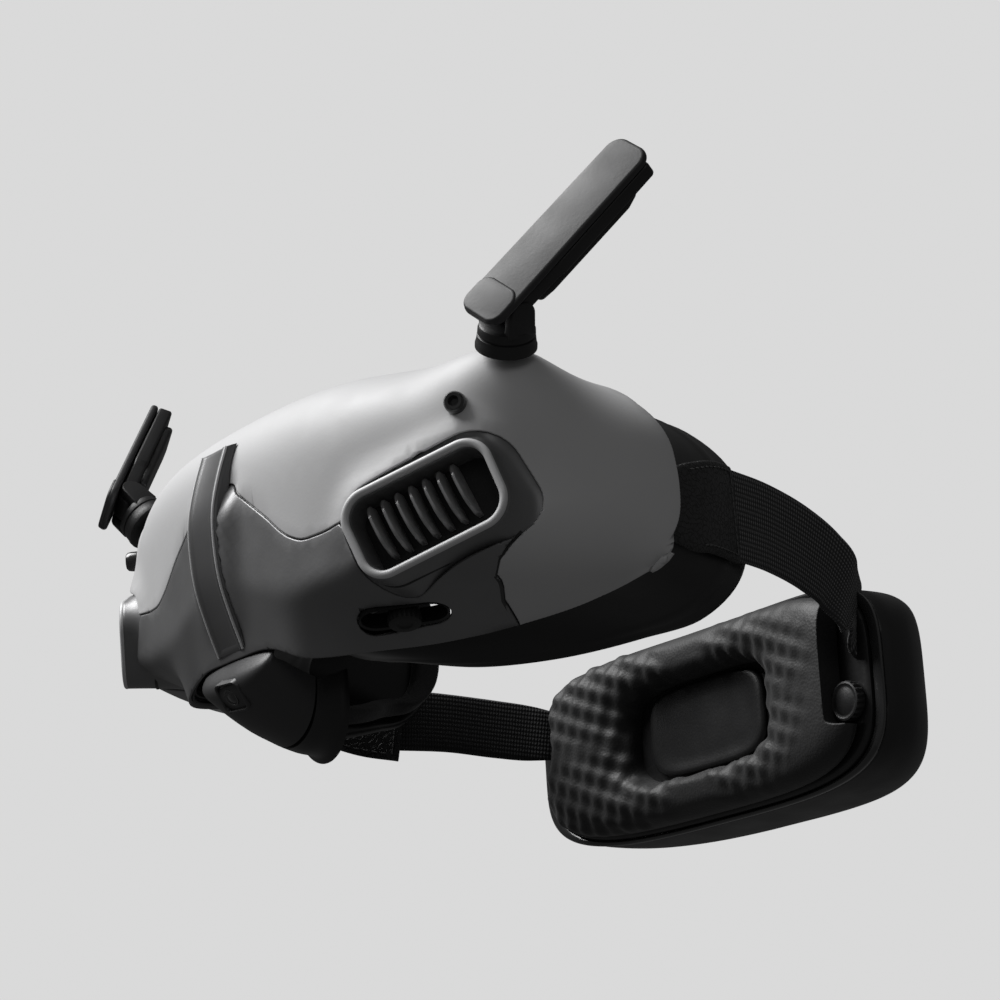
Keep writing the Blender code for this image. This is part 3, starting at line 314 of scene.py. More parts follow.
def piece(name, points, faces, finish, body, replaces=(), sharp=40, uv=None):
    """A smooth-shaded mesh in metres, riding on a body and standing for CAD nodes."""
    mesh = bpy.data.meshes.new(name)
    mesh.from_pydata([tuple(p) for p in world(points)], [], [tuple(f) for f in faces])
    mesh.validate()
    bm = bmesh.new()
    bm.from_mesh(mesh)
    bmesh.ops.recalc_face_normals(bm, faces=bm.faces)
    bm.to_mesh(mesh)
    bm.free()
    if uv is not None:
        layer = mesh.uv_layers.new(name="strap")
        for loop in mesh.loops:
            layer.data[loop.index].uv = uv[loop.vertex_index]
    mesh.shade_smooth()
    mesh.set_sharp_from_angle(angle=math.radians(sharp))
    mesh.materials.append(FINISH[finish])
    obj = bpy.data.objects.new(name, mesh)
    bpy.context.scene.collection.objects.link(obj)
    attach(obj, body)
    if replaces:
        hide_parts(*replaces)
    return obj


def grid_faces(rows, columns, ring=False, caps=True):
    """Quads over rows of points; ring joins the last row to the first."""
    faces = []
    for i in range(rows if ring else rows - 1):
        a, b = i * columns, ((i + 1) % rows) * columns
        for j in range(columns):
            k = (j + 1) % columns
            faces.append((a + j, a + k, b + k, b + j))
    if caps and not ring:
        faces.append(tuple(range(columns))[::-1])
        faces.append(tuple(range((rows - 1) * columns, rows * columns)))
    return faces


def skin(name, rows, finish, body, slot, replaces=(), ring=False, sharp=40, uv=None):
    rows = [np.asarray(r, float) for r in rows]
    return piece(name, np.concatenate(rows), grid_faces(len(rows), len(rows[0]), ring), finish, body,
                 replaces, sharp, uv)


def lathe(name, profile, frame, finish, body, slot, replaces=(), steps=64, ridges=0, depth=0.0):
    """Profile of (radius, height) turned about the frame's z axis, with grip ridges on its rim."""
    widest = max(r for r, _ in profile)
    a = np.linspace(0, 2 * math.pi, steps, endpoint=False)
    rows = []
    for r, h in profile:
        wave = depth * (0.5 + 0.5 * np.cos(a * ridges)) if ridges and r > widest * 0.97 else 0.0
        rows.append(lifted(frame, np.stack([(r - wave) * np.cos(a), (r - wave) * np.sin(a)], 1), h))
    return skin(name, rows, finish, body, slot, replaces, sharp=35)


def slab(name, outline, low, high, frame, finish, body, slot, replaces=(), edge=0.6, rings=4):
    """Flat outline between two heights with rounded edges; the outline shrinks by the edge radius."""
    turn = [math.pi / 2 * k / rings for k in range(rings + 1)]
    rows = [(edge * (1 - math.sin(a)), low + edge * (1 - math.cos(a))) for a in turn]
    rows += [(shrink, high - (height - low)) for shrink, height in rows[::-1]]
    loops = [lifted(frame, offset(outline, shrink), height) for shrink, height in rows]
    return skin(name, loops, finish, body, slot, replaces, sharp=50)


def offset(polygon, distance):
    """Moves a closed outline inwards."""
    p = np.asarray(polygon, float)
    area = 0.5 * np.sum(p[:, 0] * np.roll(p[:, 1], -1) - np.roll(p[:, 0], -1) * p[:, 1])
    back, ahead = unit(p - np.roll(p, 1, 0)), unit(np.roll(p, -1, 0) - p)
    normal = unit(np.stack([-(back + ahead)[:, 1], (back + ahead)[:, 0]], 1))
    return p + normal * distance * (1 if area > 0 else -1)


def tube(name, path, radius, finish, body, slot, sides=10):
    """Round cord along an open path."""
    p = np.asarray(path, float)
    run = unit(np.gradient(p, axis=0))
    side = unit(np.cross(run, (0.11, 0.17, 0.98)))
    up = np.cross(side, run)
    a = np.linspace(0, 2 * math.pi, sides, endpoint=False)
    rows = [c + radius * (np.cos(a)[:, None] * s + np.sin(a)[:, None] * u) for c, s, u in zip(p, side, up)]
    return skin(name, rows, finish, body, slot)


# ------------------------------------------------------------------ finishes
FINISH = {}
BLACK = ("black_plastic", "front_unit", "black_plastic")       # finish, body and material slot
REAR_BLACK = ("black_plastic", "rear_unit", "black_plastic")


def fill(node, inputs):
    """Sets a node's inputs to values, or links them to the outputs given."""
    for key, value in inputs.items():
        if isinstance(value, bpy.types.NodeSocket):
            node.id_data.links.new(value, node.inputs[key])
        else:
            node.inputs[key].default_value = value


class Nodes:
    """Short names for building a node tree around one Principled shader."""

    def __init__(self, name):
        self.material = bpy.data.materials.new(name)
        self.material.use_nodes = True
        self.tree = self.material.node_tree
        self.shader = self.tree.nodes["Principled BSDF"]
        self.place = self.add("ShaderNodeTexCoord").outputs["Object"]
        FINISH[name] = self.material

    def add(self, kind, inputs=(), **settings):
        node = self.tree.nodes.new(kind)
        for key, value in settings.items():
            setattr(node, key, value)
        fill(node, dict(inputs))
        return node

    def noise(self, scale, detail=4.0):
        return self.add("ShaderNodeTexNoise", {"Scale": scale, "Detail": detail,
                                               "Vector": self.place}).outputs["Fac"]

    def remap(self, value, low, high, start=0.3, end=0.7):
        """A value between start and end, moved to between low and high."""
        spans = {"Value": value, "From Min": start, "From Max": end, "To Min": low, "To Max": high}
        return self.add("ShaderNodeMapRange", spans).outputs["Result"]

    def maths(self, operation, a, b):
        return self.add("ShaderNodeMath", {0: a, 1: b}, operation=operation).outputs[0]

    def blend(self, factor, a, b):
        a, b = ((*c, 1) if isinstance(c, tuple) else c for c in (a, b))
        return self.add("ShaderNodeMix", {"Factor": factor, 6: a, 7: b}, data_type="RGBA").outputs[2]

    def bump(self, height, strength, distance, under=None):
        inputs = {"Strength": strength, "Distance": distance, "Height": height}
        if under is not None:
            inputs["Normal"] = under
        return self.add("ShaderNodeBump", inputs).outputs["Normal"]


def moulded(name, colour, rough, grain=1500.0, bump=0.10, mottle=0.12, worn=0.25, metallic=0.0, coat=0.0,
            spread=0.05):
    """Moulded or painted surface: fine texture, faint mottling, edges rubbed a little lighter."""
    n, c = Nodes(name), np.array(colour)
    base = n.blend(n.remap(n.noise(38.0), 0, 1), tuple(c * (1 - mottle)),
                   tuple(np.minimum(c * (1 + mottle), 1)))
    edge = n.remap(n.add("ShaderNodeNewGeometry").outputs["Pointiness"], 0.0, worn, 0.53, 0.66)
    rubbed = n.maths("MULTIPLY", edge, n.remap(n.noise(260.0), 0.2, 1.0))
    uneven = n.bump(n.noise(60.0, 1.0), 0.05, 0.002)
    fill(n.shader, {
        "Base Color": n.blend(rubbed, base, tuple(np.minimum(c * 1.7 + 0.05, 0.95))),
        "Roughness": n.remap(n.noise(90.0), rough - spread, rough + spread),
        "Normal": n.bump(n.noise(grain, 2.0), bump, 0.0002, uneven),
        "Metallic": metallic, "Coat Weight": coat, "Coat Roughness": 0.25})
    return n


def leather():
    """Creased hide: small cells with dark cracks between them."""
    n = moulded("leather", (0.018, 0.018, 0.019), 0.5, 1200.0, 0.2, 0.25, 0.1)
    soft = n.add("ShaderNodeTexNoise", {"Scale": 420.0, "Vector": n.place}).outputs["Color"]
    small = n.add("ShaderNodeVectorMath", {0: soft, "Scale": 0.0016}, operation="SCALE").outputs[0]
    wobble = n.add("ShaderNodeVectorMath", {0: n.place, 1: small}, operation="ADD").outputs[0]
    cells = n.add("ShaderNodeTexVoronoi", {"Scale": 780.0, "Vector": wobble}, feature="DISTANCE_TO_EDGE")
    crack = n.remap(cells.outputs["Distance"], 0.0, 1.0, 0.0, 0.14)
    fill(n.shader, {"Normal": n.bump(crack, 0.75, 0.00028),
                    "Base Color": n.blend(crack, (0.006, 0.006, 0.006), (0.026, 0.026, 0.027))})


def webbing():
    """Elastic weave: ribs across the band and threads along it, from the band's own coordinates."""
    n = Nodes("webbing")
    at = n.add("ShaderNodeUVMap", uv_map="strap").outputs["UV"]
    waves = [n.add("ShaderNodeTexWave", {"Scale": scale, "Distortion": 0.35, "Detail Scale": 0.5,
                                         "Vector": at}, wave_type="BANDS", bands_direction=direction,
                   wave_profile="SIN").outputs["Fac"] for direction, scale in (("X", 0.42), ("Y", 0.30))]
    weave = n.maths("MULTIPLY", *[n.maths("ADD", wave, 0.25) for wave in waves])
    fuzz = n.bump(n.noise(2600.0), 0.4, 0.0001)
    fill(n.shader, {
        "Base Color": n.blend(n.maths("MULTIPLY", weave, 0.8), (0.006, 0.006, 0.0065), (0.045, 0.045, 0.047)),
        "Normal": n.bump(weave, 0.8, 0.0003, fuzz),
        "Roughness": 0.8, "Sheen Weight": 0.25, "Sheen Roughness": 0.4})


def knit(name, colour, rough, sheen):
    """Fine knitted skin over foam."""
    n = moulded(name, colour, rough, 2200.0, 0.35, 0.25, 0.1)
    cells = n.add("ShaderNodeTexVoronoi", {"Scale": 1500.0, "Vector": n.place}).outputs["Distance"]
    fill(n.shader, {"Normal": n.bump(cells, 0.25, 0.0002), "Sheen Weight": sheen, "Sheen Roughness": 0.45})


def glass(name, colour, rough):
    n = moulded(name, colour, rough, 400.0, 0.01, 0.3, 0.0, coat=1.0, spread=0.02)
    fill(n.shader, {"Coat Roughness": 0.03})


def make_finishes():
    moulded("light_cover", (0.60, 0.60, 0.605), 0.58, 1700.0, 0.07, 0.02, 0.05, metallic=0.05)
    moulded("dark_cover", (0.21, 0.21, 0.213), 0.42, 1500.0, 0.08, 0.05, 0.08, metallic=0.5)
    moulded("black_plastic", (0.014, 0.014, 0.0145), 0.42, 1400.0, 0.18, 0.2, 0.15)
    moulded("grey_plastic", (0.10, 0.10, 0.102), 0.38, 1500.0, 0.10, 0.08, 0.1, metallic=0.2)
    # Finish for the beak and its window rim: the same plastic as the dark cover, coloured far darker as
    # painted shade where it faces down.
    moulded("beak_painted_shade", (0.045, 0.045, 0.046), 0.42, 1500.0, 0.1, 0.1, 0.10, metallic=0.2)
    # lip: a light copy of the dark cover plastic, a painted highlight where the key light catches the vent
    # lips and the ridge's edge beads.
    moulded("lip", (0.62, 0.62, 0.625), 0.46, 1500.0, 0.06, 0.05, 0.05, metallic=0.1)
    moulded("antenna", (0.030, 0.030, 0.031), 0.50, 1400.0, 0.12, 0.1, 0.10)
    moulded("spine", (0.12, 0.12, 0.122), 0.40, 1500.0, 0.08, 0.05, 0.08, metallic=0.3)
    # Vent ribs: dark plastic coloured lighter, a painted highlight standing in for the lit crests of the
    # fins.
    moulded("rib_painted_highlight", (0.26, 0.26, 0.262), 0.28, 1200.0, 0.05, 0.1, 0.15, coat=0.4)
    moulded("gloss_rim", (0.030, 0.030, 0.0305), 0.20, 900.0, 0.02, 0.2, 0.05, coat=0.6, spread=0.03)
    moulded("rubber", (0.013, 0.013, 0.013), 0.55, 1900.0, 0.25, 0.25, 0.1)
    moulded("silicone", (0.010, 0.010, 0.0105), 0.36, 1100.0, 0.08, 0.15, 0.05, coat=0.1)
    moulded("metal", (0.42, 0.42, 0.43), 0.3, 2400.0, 0.1, 0.1, 0.2, metallic=1.0)
    moulded("board", (0.02, 0.07, 0.04), 0.5, 900.0, 0.3, 0.3, 0.2)
    moulded("cell", (0.05, 0.12, 0.22), 0.35, 700.0, 0.05, 0.1, 0.2)
    moulded("thread", (0.10, 0.10, 0.10), 0.6, 3000.0, 0.5, 0.2, 0.1)
    knit("foam", (0.018, 0.018, 0.019), 0.7, 0.3)
    knit("pad_skin", (0.016, 0.016, 0.0165), 0.55, 0.12)
    glass("glass", (0.012, 0.012, 0.015), 0.06)
    leather()
    webbing()


def wrap_cad_nodes(nodes, slots):
    """Kept CAD nodes take a finish by material slot, and get welded, softened edges."""
    for name, obj in nodes.items():
        obj.data.materials.clear()
        obj.data.materials.append(FINISH[slots[name]])
        obj.data.polygons.foreach_set("use_smooth", [True] * len(obj.data.polygons))
        weld = obj.modifiers.new("weld", "WELD")
        weld.merge_threshold = 1e-6
        soft = obj.modifiers.new("soft edges", "BEVEL")
        soft.width, soft.segments, soft.limit_method = 0.00018, 2, "ANGLE"
        soft.angle_limit = math.radians(35)
        obj.modifiers.new("even shading", "WEIGHTED_NORMAL").keep_sharp = True


# ------------------------------------------------------------------ vents
VENT_FRAME = frame_of(VENT_AT, VENT_ALONG, np.cross(np.cross(VENT_ALONG, (0, 0, 1)), VENT_ALONG))
VENT_OUT = VENT_FRAME[1][2]
FLARE_HEIGHT, FLARE_REACH = 1.9, 4.2


def vent_flare(points):
    """Lift of the covers towards the vent rims, and their direction."""
    lift = np.zeros_like(points)
    ring = closed_steps(rounded(VENT_CORNERS, VENT_RADIUS, 6, 1.6), 1.5)
    for side in (1, -1):
        flipx = np.array([side, 1, 1])
        rim = lifted(VENT_FRAME, ring, -0.6) * flipx
        near = np.linalg.norm(points - np.array(VENT_AT) * flipx, axis=1) < 40
        gap = np.full(len(points), 1e3)
        gap[near] = np.min(np.linalg.norm(points[near][:, None] - rim[None], axis=2), axis=1)
        lift += FLARE_HEIGHT * np.exp(-(gap / FLARE_REACH) ** 2)[:, None] * VENT_OUT * flipx
    return lift


def spread_end(ring):
    """Widens the outer end of a vent outline."""
    return ring + np.column_stack([3.2 * np.clip((ring[:, 0] - 8) / 12, 0, 1), np.zeros(len(ring))])


def vent_ring(grow, height):
    """One loop of the rounded vent outline."""
    return lifted(VENT_FRAME, rounded(VENT_CORNERS, VENT_RADIUS, 12, grow), height)


def pod_wall():
    """Wall from the body up to the lip, hollowed like a fillet, and the inner wall down behind the ribs."""
    ring = spread_end(rounded(VENT_CORNERS, VENT_RADIUS, 12, 2.3))
    foot = surface([where_hit(p, -VENT_OUT) for p in lifted(VENT_FRAME, ring, 30.0)])
    foot = foot + vent_flare(foot) - VENT_OUT * 0.7
    deep = (foot - np.array(VENT_AT)) @ VENT_OUT
    knee, top = vent_ring(1.1, np.minimum(deep + 1.0, 0.8)), vent_ring(0.7, 1.8)
    rows = [foot - VENT_OUT * 1.5]
    for t in np.linspace(0, 1, 12):
        rows.append(foot * (1 - t) ** 2 + 2 * t * (1 - t) * knee + top * t * t)
    inner = ((0.4, 1.95), (-0.5, 1.9), (-0.95, 1.5), (-1.15, 0.8), (-1.3, -0.4), (-1.5, -2.4), (-1.7, -4.6))
    return rows + [vent_ring(grow, height) for grow, height in inner]


LIP = ((0.62, 1.55), (0.78, 1.95), (0.72, 2.35), (0.4, 2.62), (-0.1, 2.7), (-0.55, 2.58), (-0.85, 2.3),
       (-0.95, 1.9), (-0.85, 1.5))
RIBS, RIB_START, RIB_PITCH = 7, (-10.5, -3.1), (3.15, 0.68)


def vent(side):
    name, flipx = side_name(side), np.array([side, 1, 1])
    skin("vent_pod_" + name, [row * flipx for row in pod_wall()], "dark_cover", "front_unit", "dark_cover",
         ("vent_bezel_" + name,), ring=True, sharp=60)
    # The lip is coloured light, though it is the same plastic as the dark pod: painted highlight where the
    # key light catches it.
    skin("vent_lip_" + name, [vent_ring(*level) * flipx for level in LIP], "lip", "front_unit", "dark_cover",
         ring=True, sharp=80)
    back = rounded(VENT_CORNERS, VENT_RADIUS, 8, 1.2)
    slab("vent_back_" + name, back if side > 0 else mirror_x(back), -5.2, -4.5, flip(VENT_FRAME, side),
         *BLACK, edge=0.2)
    points, faces = [], []
    for k in range(RIBS):
        centre = np.array(RIB_START) + np.array(RIB_PITCH) * k
        low, high = centre + (1.9, -5.6), centre + (-1.9, 5.6)
        run = unit(high - low)
        across = np.array([run[1], -run[0]])
        for t in np.linspace(0, 1, 15):
            middle = low + (high - low) * t
            crown = 1.15 - 2.6 * abs(2 * t - 1) ** 3
            section = ((-0.46, -4.5), (-0.46, crown - 0.35), (-0.25, crown), (0.25, crown),
                       (0.46, crown - 0.35), (0.46, -4.5))
            points += [place(VENT_FRAME, (*(middle + across * u), h)) * flipx for u, h in section]
        faces += [tuple(k * 90 + v for v in f) for f in grid_faces(15, 6)]
    # The ribs are coloured lighter than the dark pod around them: painted highlight on their crests.
    piece("vent_ribs_" + name, points, faces, "rib_painted_highlight", "front_unit", ("vent_grille_" + name,),
          sharp=50)


# ------------------------------------------------------------------ covers
def inset(outline, distance):
    """Moves a closed outline inwards by millimetres measured on the surface; negative moves it outwards."""
    step, at = 1e-4, surface(outline)
    du, dv = (surface(outline + [step, 0]) - at) / step, (surface(outline + [0, step]) - at) / step
    run = unit(unit(at - np.roll(at, 1, 0)) + unit(np.roll(at, -1, 0) - at))
    x, y = outline.T
    turning = np.sign(np.sum(x * np.roll(y, -1) - np.roll(x, -1) * y))
    inward = np.cross(unit(np.cross(du, dv)), run) * turning
    a, b, c = np.sum(du * du, 1), np.sum(du * dv, 1), np.sum(dv * dv, 1)
    p, q = np.sum(du * inward, 1), np.sum(dv * inward, 1)
    return outline + distance * np.stack([c * p - b * q, a * q - b * p], 1) / (a * c - b * b)[:, None]


def in_polygon(points, polygon):
    x, y = points[:, 0], points[:, 1]
    hit = np.zeros(len(points), bool)
    for (x1, y1), (x2, y2) in zip(polygon, np.roll(polygon, -1, 0)):
        if y1 != y2:
            hit ^= ((y1 > y) != (y2 > y)) & (x < (x2 - x1) * (y - y1) / (y2 - y1) + x1)
    return hit


def gap_to(points, ring):
    """Distance from points to the nearest point of a ring."""
    out = np.empty(len(points))
    for i in range(0, len(points), 2000):
        out[i:i + 2000] = np.min(np.linalg.norm(points[i:i + 2000, None] - ring[None], axis=2), axis=1)
    return out


EDGE_RADIUS, SEAM_HALF = 0.32, 0.13
EDGE_STEPS = (0.08, 0.18, 0.36)
COVER_WALL, BODY_MIDDLE = 1.2, np.array((0, PLAN_CENTRE_Y, 45))
GRID_STEP, FINE_STEP, FINE_REACH = 0.05, 0.022, 0.42      # in disc coordinates


def border_rings(seam, holes):
    """Border loops of a panel, each a little further in, and the depth that the rounded edge gives them."""
    rings, depths = [], []
    for d in (0.0,) + EDGE_STEPS:
        drop = EDGE_RADIUS - math.sqrt(EDGE_RADIUS**2 - max(EDGE_RADIUS - d, 0) ** 2)
        for ring in [inset(seam, d)] + [inset(hole, -d) for hole in holes]:
            rings.append(ring)
            depths.append(np.full(len(ring), drop))
    return rings, depths


def panel_grid(seam, holes, rings):
    """Points inside a panel and clear of its border loops, closer together around the horns and the vents."""
    centres = []
    for at, d in ((HORN_AT, unit(HORN_AXIS)), (VENT_AT, VENT_OUT)):
        for side in (1, -1):
            mirror = np.array([side, 1, 1])
            centres.append(where_hit((np.array(at) + d * 40) * mirror, -d * mirror))
    grid = []
    for step, wanted in ((GRID_STEP, False), (FINE_STEP, True)):
        span = np.arange(-2.4, 2.41, step)
        g = np.array([[x + (j % 2) * step / 2, y] for j, y in enumerate(span) for x in span])
        close = np.min(np.linalg.norm(g[:, None] - np.array(centres)[None], axis=2), axis=1) < FINE_REACH
        g = g[close == wanted]
        g = g[in_polygon(g, seam)]
        for ring in rings:
            g = g[gap_to(g, ring) > step * 0.45]
        grid.append(g)
    grid = np.concatenate(grid)
    for hole in holes:
        grid = grid[~in_polygon(grid, hole)]
    return grid


def panel_mesh(seam, holes):
    """Triangles of a panel in disc coordinates, with the depth of each point under the surface."""
    rings, depths = border_rings(seam, holes)
    grid = panel_grid(seam, holes, rings)
    depth = np.concatenate(depths + [np.zeros(len(grid))])
    edges, base = [], 0
    for ring in rings[:1 + len(holes)]:
        edges += [(base + i, base + (i + 1) % len(ring)) for i in range(len(ring))]
        base += len(ring)
    points = [Vector(p) for p in np.concatenate(rings + [grid])]
    verts, _, faces, origins, *_ = delaunay_2d_cdt(points, edges, [], 0, 1e-7)
    flat = np.array([v[:] for v in verts])
    centre = np.array([flat[list(f)].mean(0) for f in faces])
    used = in_polygon(centre, seam)
    for hole in holes:
        used &= ~in_polygon(centre, hole)
    depth = np.array([depth[o[0]] if o else 0.0 for o in origins])
    return flat, [f for f, u in zip(faces, used) if u], depth


def cover(name, outline, holes, finish, replaces):
    """Panel of the body surface with rounded borders, thickened inwards."""
    flat, faces, depth = panel_mesh(inset(outline, SEAM_HALF), holes)
    at, step = surface(flat), 1e-3
    normal = unit(np.cross(surface(flat + [step, 0]) - at, surface(flat + [0, step]) - at))
    normal *= np.sign(np.sum(normal * (at - BODY_MIDDLE), 1))[:, None]
    at = at + vent_flare(at) + ridge_flare(at) - normal * depth[:, None]
    keep = np.unique(np.concatenate([np.array(f) for f in faces]))
    index = -np.ones(len(at), int)
    index[keep] = np.arange(len(keep))
    faces = [tuple(index[list(f)]) for f in faces]
    obj = piece(name, at[keep], faces, finish, "front_unit", replaces, 60)
    wall = obj.modifiers.new("wall", "SOLIDIFY")
    wall.thickness, wall.offset = COVER_WALL * MM, -1
    if (at[keep][0] - BODY_MIDDLE) @ np.array(obj.data.vertices[0].normal) < 0:
        obj.data.flip_normals()


def vent_border():
    """Upper and lower half of the vents' outline, grown and dropped on the surface, in disc coordinates."""
    ring = closed_steps(spread_end(rounded(VENT_CORNERS, VENT_RADIUS, 8, 2.0)), 1.2)
    hits = np.array([where_hit(p, -VENT_OUT) for p in lifted(VENT_FRAME, ring, 30.0)])
    angle = np.degrees(np.arctan2(ring[:, 1], ring[:, 0]))
    upper = [i for i in range(len(ring)) if -28 < angle[i] < 176]
    lower = [i for i in range(len(ring)) if i not in upper]
    return (hits[sorted(upper, key=lambda i: -angle[i])], hits[sorted(lower, key=lambda i: angle[i] % 360)])


def densify(outline, longest=1.3):
    """Splits the long steps of a closed outline."""
    at, out = surface(outline), []
    for k, q in enumerate(outline):
        ahead = (k + 1) % len(outline)
        n = max(1, int(np.ceil(np.linalg.norm(at[ahead] - at[k]) / longest)))
        out += [q + (outline[ahead] - q) * i / n for i in range(n)]
    return np.array(out)


def rim_line(degrees):
    t = np.radians(degrees)
    return np.stack([2 * np.sin(t), -2 * np.cos(t)], 1)


RIDGE_FRONT = ((67.0, -29.2), (60, -31.4), (52, -33.0), (44, -32.8), (37, -31.7), (30, -29.4), (23, -26.6))


def ridge_flare(points):
    """Below the brow the front cover sweeps forward to meet the edges of the centre ridge."""
    x, y, z = np.abs(points[:, 0]), points[:, 1], points[:, 2]
    front = interpolate(z, *np.array(RIDGE_FRONT)[::-1].T) + 0.45 + np.clip(5.8 - x, 0, 1.6)
    near = (np.exp(-(np.clip(x - 5.8, 0, None) / 3.4) ** 2)
            * np.clip((56.5 - z) / 3, 0, 1) * np.clip((z - 22) / 8, 0, 1))
    lift = np.clip(y - front, 0, 8) * near * (y < -10)
    return np.column_stack([0 * lift, -lift, 0 * lift])


def seam_strip(name, line):
    """Black strip a little under a seam, so that nothing inside shows through it."""
    p = surface(line)
    p = p + vent_flare(p) + ridge_flare(p)
    tube(name, p + unit(BODY_MIDDLE - p) * 1.0, 0.62, *BLACK, sides=8)


def mirrored(half):
    """Closed outline from its left half in disc coordinates."""
    return densify(np.array(half + [q * [-1, 1] for q in half[-2:0:-1]]))


SLOT_NORMAL = unit(np.cross(SLOT_ALONG, np.cross((0.22, -0.16, -0.96), SLOT_ALONG)))


def slot_frame():
    return frame_of(SLOT_AT, SLOT_ALONG, np.cross(SLOT_NORMAL, SLOT_ALONG))


def covers():
    upper, lower = vent_border()
    brow = [from_front(x, z) for x, z in resample(BROW_SEAM, 44)]
    cheek = [from_side(y, z) for y, z in stretch(CHEEK_SEAM, 1.8) + [CHEEK_SEAM[-1]]]
    cheek += list(rim_line(np.array([75.5])))
    rear = [from_side(y, z) for y, z in resample(REAR_SEAM, 22)[1:]]
    crown = [from_above(x, y) for x, y in resample(CROWN_SEAM, 40)]
    outline = mirrored(brow + list(upper) + cheek + list(rim_line(np.arange(77, 104, 1.5))) + rear + crown)
    turn = np.linspace(0, 2 * math.pi, 33)[:-1]
    port = rounded(((-3.2, -11), (3.2, -11), (3.2, 11), (-3.2, 11)), 1.6, 5, 1.2)
    bores = [np.array(at) + r * np.stack([np.cos(turn), np.sin(turn)], 1)
             for at, r in ((STICK_AT, STICK_R), (BACK_AT, BACK_R))]
    bores.append(closed_steps(port, 1.2) + np.array(PORT_AT))
    holes = [np.array([from_side(y, z) for y, z in bore]) * [-1, 1] for bore in bores]
    cover("top_shell", outline, holes, "light_cover", ("top_cover",))
    outline = mirrored(brow + list(lower) + cheek + list(rim_line(np.arange(74, -0.1, -1.5))))
    slot = lifted(slot_frame(), closed_steps(stadium(9.7, 4.2, 8), 1.2), 0.0)
    slot = np.array([where_hit(p + SLOT_NORMAL * 60, -SLOT_NORMAL) for p in slot])
    corner = list(np.linspace(upper[-1], cheek[0], 6)[:-1])
    for k, line in enumerate((brow[4:], corner + cheek, rear)):
        for side in (1, -1):
            seam_strip(f"seam_strip_{side_name(side)}_{k}", np.array(line) * [side, 1])
    cover("front_shell", outline, [slot, slot * [-1, 1]], "dark_cover", ("front_cover",))


def trims():
    """Seam bead that runs under the rim of the shell, in two lines."""
    for k, (reach, drop) in enumerate(((1.965, 1.2), (1.93, 1.9))):
        t = np.radians(np.arange(-100, 101, 1.5))
        q = np.stack([reach * np.sin(t), -reach * np.cos(t)], 1)
        p = surface(q)
        middle = np.array([0, 20, 45])
        p = p + unit(middle - p) * drop
        tube(f"rim_bead_{k}", p, 0.42, *BLACK, sides=8)


def ridge():
    """Centre spine with a shallow channel down its face and a bead along each edge."""
    table = np.array(RIDGE_FRONT)[::-1].T
    rows, bead = [], []
    for z in np.linspace(67.0, 23.0, 60):
        front = float(interpolate(z, *table))
        back = min(surface([from_front(6.4, z)])[0][1] - 0.3, front + 6.5)
        half = ((5.9, back, z), (5.55, front + 1.3, z - 0.4), (5.35, front + 0.55, z - 0.8),
                (4.9, front + 0.15, z - 0.8), (4.2, front, z - 0.8), (3.6, front + 0.22, z - 0.8),
                (3.2, front + 0.3, z - 0.8))
        rows.append(list(half) + [(-x, y, h) for x, y, h in half[::-1]])
        bead.append((5.05, front + 0.22, z - 0.8))
    skin("ridge", rows, "spine", "front_unit", "grey_plastic", ("centre_ridge",), sharp=55)
    # The beads are coloured light: a painted highlight along the ridge's two edges.
    for side in (1, -1):
        tube("ridge_bead_" + side_name(side), np.array(bead) * [side, 1, 1], 0.3, "lip", "front_unit",
             "grey_plastic")


# ------------------------------------------------------------------ beak, window and nose rest
def trough(stations, wall, steps, roll=0.0):
    """Open-topped channel along a table of half width, lips and keel; a roll turns the last edge out."""
    table = np.array([(half, *lip, *keel) for half, lip, keel in stations], float)
    t = np.linspace(0, len(table) - 1, steps)
    dense = np.stack([interpolate(t, np.arange(len(table)), column) for column in table.T], 1)
    a = np.linspace(0, math.pi, 41)
    dip = np.sin(a) ** 0.75
    rows = []
    for i, (half, lip_y, lip_z, keel_y, keel_z) in enumerate(dense):
        outer = np.stack([half * np.cos(a), lip_y + (keel_y - lip_y) * dip,
                          lip_z + (keel_z - lip_z) * dip], 1)
        away = unit(outer - (0, lip_y, lip_z))
        late = max(0.0, (i - steps * 0.75) / (steps * 0.25))
        outer = outer + away * roll * late**2
        rows.append(np.concatenate([outer, (outer - away * wall)[::-1]]))
    return rows


